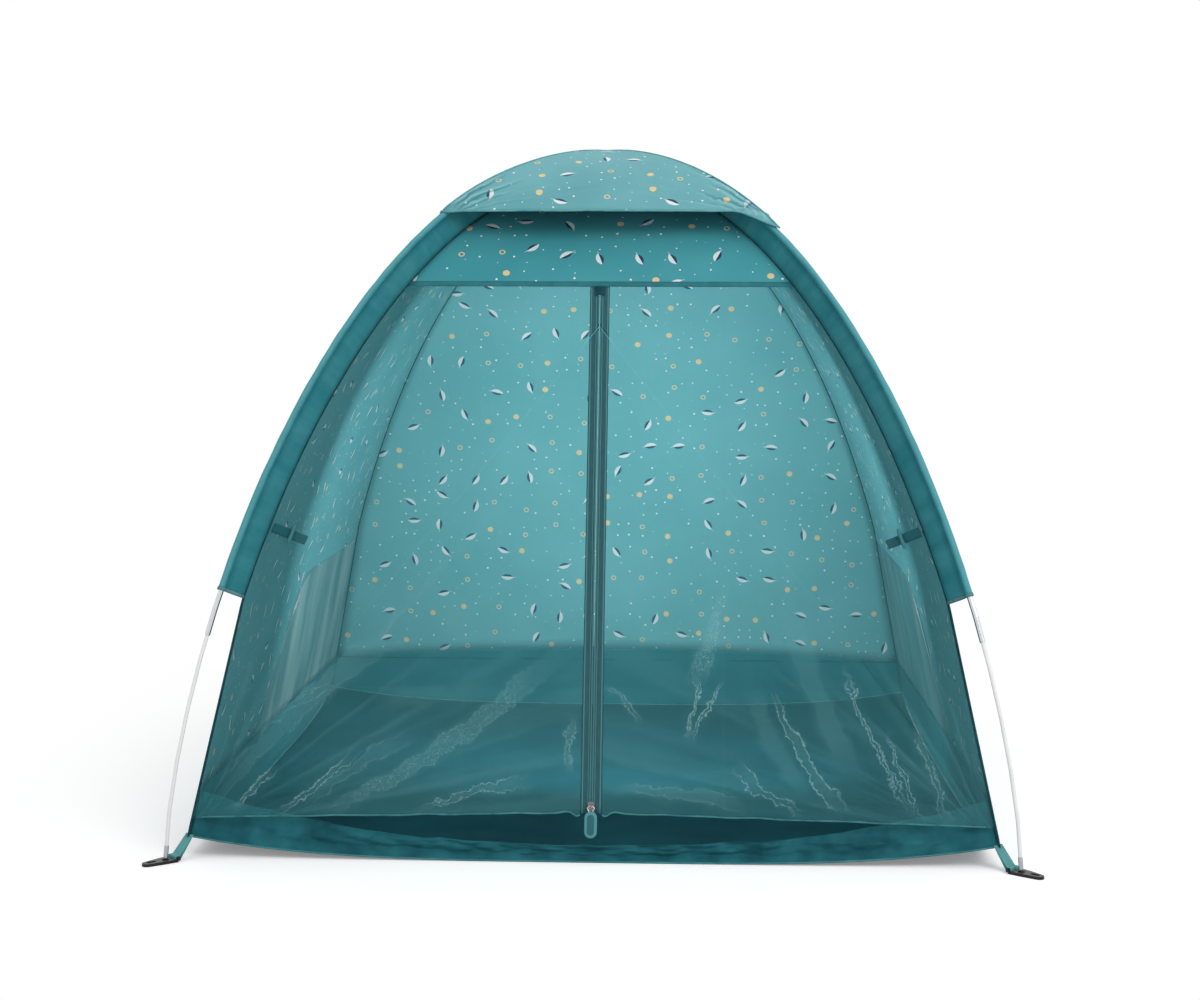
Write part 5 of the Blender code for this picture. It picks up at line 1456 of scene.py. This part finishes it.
def slab(name, x, low, high, corner, bottom, top, edge, look, *nodes):
    """A flat moulding of the pull with round corners and rounded edges."""
    outline = []
    for quarter, (cx, cy) in enumerate(((x - corner, high - corner), (corner - x, high - corner),
                                        (corner - x, low + corner), (x - corner, low + corner))):
        for share in steps(8):
            turn = (quarter + share) * FULL_TURN / 4
            outline.append((cx + corner * math.cos(turn), cy + corner * math.sin(turn)))
    shape = bmesh.new()
    face = shape.faces.new([shape.verts.new((*place, bottom)) for place in outline])
    grown = bmesh.ops.extrude_face_region(shape, geom=[face])
    for vertex in grown["geom"]:
        if isinstance(vertex, bmesh.types.BMVert):
            vertex.co.z = top
    bmesh.ops.recalc_face_normals(shape, faces=shape.faces)
    rim = [rim_edge for rim_edge in shape.edges
           if abs(rim_edge.verts[0].co.z - rim_edge.verts[1].co.z) < 1e-6]
    bmesh.ops.bevel(shape, geom=rim, offset=edge, segments=3, profile=0.5, affect="EDGES")
    for vertex in shape.verts:
        vertex.co = PULL_FRAME @ vertex.co
    attach(new_piece(name, mesh_of(name, shape), look), "pull", *nodes)


def pull_tab():
    foot, half = -PULL_TOP - PULL_LENGTH, PULL_HALF_THICKNESS
    slab("pull_tab_rim", PULL_HALF_WIDTH, foot, -PULL_TOP, 9.3 * MM, -half, half, 0.9 * MM,
         "pull_rubber", "pull_tab")
    slab("pull_tab_inset", PULL_HALF_WIDTH - PULL_INSET, foot + PULL_INSET, -PULL_TOP - 5 * MM,
         5.3 * MM, half - 0.4 * MM, half + 0.15 * MM, 0.2 * MM, "pull_inset")
    kite = [PULL_FRAME @ Vector((x * MM, y * MM, 0)) for x, y in (
        (-2.4, 0.0), (2.4, 0.0), (5.6, -2.8), (1.2, -11.3), (-1.2, -11.3), (-5.6, -2.8))]
    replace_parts(tube("pull_kite_link", kite, 0.8 * MM, "link_metal", "pull", cyclic=True),
                "pull_link")
    rounded_bar("slider_boss", (-1.7 * MM, SLIDER_REST_REACH - 4.6 * MM,
                                PULL_HINGE_LIFT - 1.9 * MM),
                (1.7 * MM, SLIDER_REST_REACH - 1.3 * MM, PULL_HINGE_LIFT - 0.7 * MM),
                0.5 * MM, "link_metal", "slider")


def dress():
    """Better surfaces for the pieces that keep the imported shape."""
    for look, names in {
        "black_plastic": [f"anchor_plate_{corner}" for corner in CORNERS],
        "bright_steel": [f"pole_tip_{corner}" for corner in CORNERS] + [
            f"pole_{pole}_{end}_ferrule" for pole in "ab" for end in ("front", "rear")],
        "white_fibreglass": [f"pole_{pole}_{part}" for pole in "ab" for part in (
            "front_section", "rear_section", "arch_sections")],
        "elastic_cord": ["pole_a_shock_cord", "pole_b_shock_cord"],
        "zip_coil": ["zip_coil_left", "zip_coil_right"],
        "toggle_cloth": ["tie_toggle_left", "tie_toggle_right"],
        "slider_metal": ["zip_slider"],
    }.items():
        for name in names:
            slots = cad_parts[name].data.materials
            slots.clear()
            slots.append(MATERIALS[look])


# Camera, lights and floor

CAMERA_PLACE = (0.12132, -3.45048, 0.80529)
CAMERA_YAW = -2.19777 * DEGREE
CAMERA_PITCH = -5.13068 * DEGREE
CAMERA_ROLL = 0.19415 * DEGREE
CAMERA_LENS = 57.628
SENSOR = 36.0
WHITE = (1, 1, 1, 1)
FLOOR_SHADE = (0.8, 0.8, 0.8, 1)
FLOOR_LIFT = (0.3, 0.3, 0.3, 1)     # how much brighter than white the floor is for the camera
FLOOR_REACH = 12.0
LAMPS = {                           # place, target, size and watts
    "key": ((2.4, -3.0, 3.2), (0, 0, 0.5), (2.6, 2.0), 66),
    "fill": ((-2.4, -2.8, 1.6), (0, 0, 0.4), (2.0, 2.0), 5.5),
    "top": ((0.2, 0.6, 3.6), (0, 0, 0.5), (3.0, 3.0), 20),
    "inner": ((0, -0.2, 0.4), (0, 0.6, 0.34), (0.6, 0.5), 6),
}


def camera():
    data = bpy.data.cameras.new("camera")
    made = new_object("camera", data)
    data.sensor_width = SENSOR
    data.lens = CAMERA_LENS
    data.clip_start, data.clip_end = 0.05, 60
    forward = Vector((math.sin(CAMERA_YAW) * math.cos(CAMERA_PITCH),
                      math.cos(CAMERA_YAW) * math.cos(CAMERA_PITCH), math.sin(CAMERA_PITCH)))
    level = Vector((math.cos(CAMERA_YAW), -math.sin(CAMERA_YAW), 0))
    upright = level.cross(forward)
    right = level * math.cos(CAMERA_ROLL) + upright * math.sin(CAMERA_ROLL)
    up = upright * math.cos(CAMERA_ROLL) - level * math.sin(CAMERA_ROLL)
    turn = Matrix((right, up, -forward)).transposed().to_4x4()
    made.matrix_world = Matrix.Translation(CAMERA_PLACE) @ turn
    bpy.context.scene.camera = made


def studio():
    """A white surround, a floor that takes shade near the tent alone, and the lamps."""
    world = bpy.data.worlds.new("studio")
    bpy.context.scene.world = world
    world.use_nodes = True
    nodes = Nodes(world.node_tree)
    background = nodes.tree.nodes["Background"].inputs
    seen = nodes.seen_by("Camera").most(nodes.seen_by("Glossy")).most(
        nodes.seen_by("Transmission"))
    nodes.put(background["Strength"], seen.ramp(0.0, 1.0, 0.62, 1.0))
    background["Color"].default_value = WHITE

    mesh = bpy.data.meshes.new("studio_floor")
    mesh.from_pydata([(x * FLOOR_REACH, y * FLOOR_REACH, 0)
                      for x, y in ((-1, -1), (1, -1), (1, 1), (-1, 1))], [], [(0, 1, 2, 3)])
    floor = new_object("studio_floor", mesh)
    floor.location.z = -0.2 * MM
    look = Look("studio_floor", 0.9)
    seen = look.seen_by("Camera")
    look.put(look.shader.inputs["Base Color"], look.blend(seen, FLOOR_SHADE, WHITE))
    x, y, _ = look.place().split()
    share = seen * abs(x).most(abs(y)).ramp(0.6, 1.1, 0.22, 1.0)
    extra = look.add("BsdfDiffuse", {"Color": look.blend(seen, (0, 0, 0, 1), FLOOR_LIFT)})
    lit = look.add("AddShader", (Signal(look, look.shader.outputs[0]), extra))
    glow = look.add("Emission", {"Strength": 1.0, "Color": WHITE})
    look.put(look.tree.nodes["Material Output"].inputs["Surface"],
             look.add("MixShader", (share, lit, glow)))
    mesh.materials.append(look.material)

    for name, (place, target, size, watts) in LAMPS.items():
        data = bpy.data.lights.new(name, "AREA")
        data.shape = "RECTANGLE"
        data.size, data.size_y = size
        data.energy = watts
        lamp = new_object(name, data)
        lamp.location = place
        aim = Vector(target) - Vector(place)
        lamp.rotation_euler = aim.to_track_quat("-Z", "Y").to_euler()


camera()
studio()
floor_cloth()
tub()
walls()
for corner, angle in CORNERS.items():
    sleeve(corner, angle, UPPER_POLE if corner in ("front_left", "rear_right") else LOWER_POLE)
cap()
for name, side in SIDES:
    nets(name, side)
for name, side in SIDES:
    zip_and_hem(name, side)
rounded_bar("zip_end_stop", (-8 * MM, SLIDER_TOP_REACH + 7 * MM, 0),
            (8 * MM, DOOR_LENGTH - 1 * MM, 2.6 * MM), 0.9 * MM, "binding_tape", "tent")
bindings()
for corner, angle in CORNERS.items():
    corner_strap(corner, angle)
for name, side in SIDES:
    tie_back(name, side)
pull_tab()
dress()
bpy.context.scene.view_settings.view_transform = "Standard"
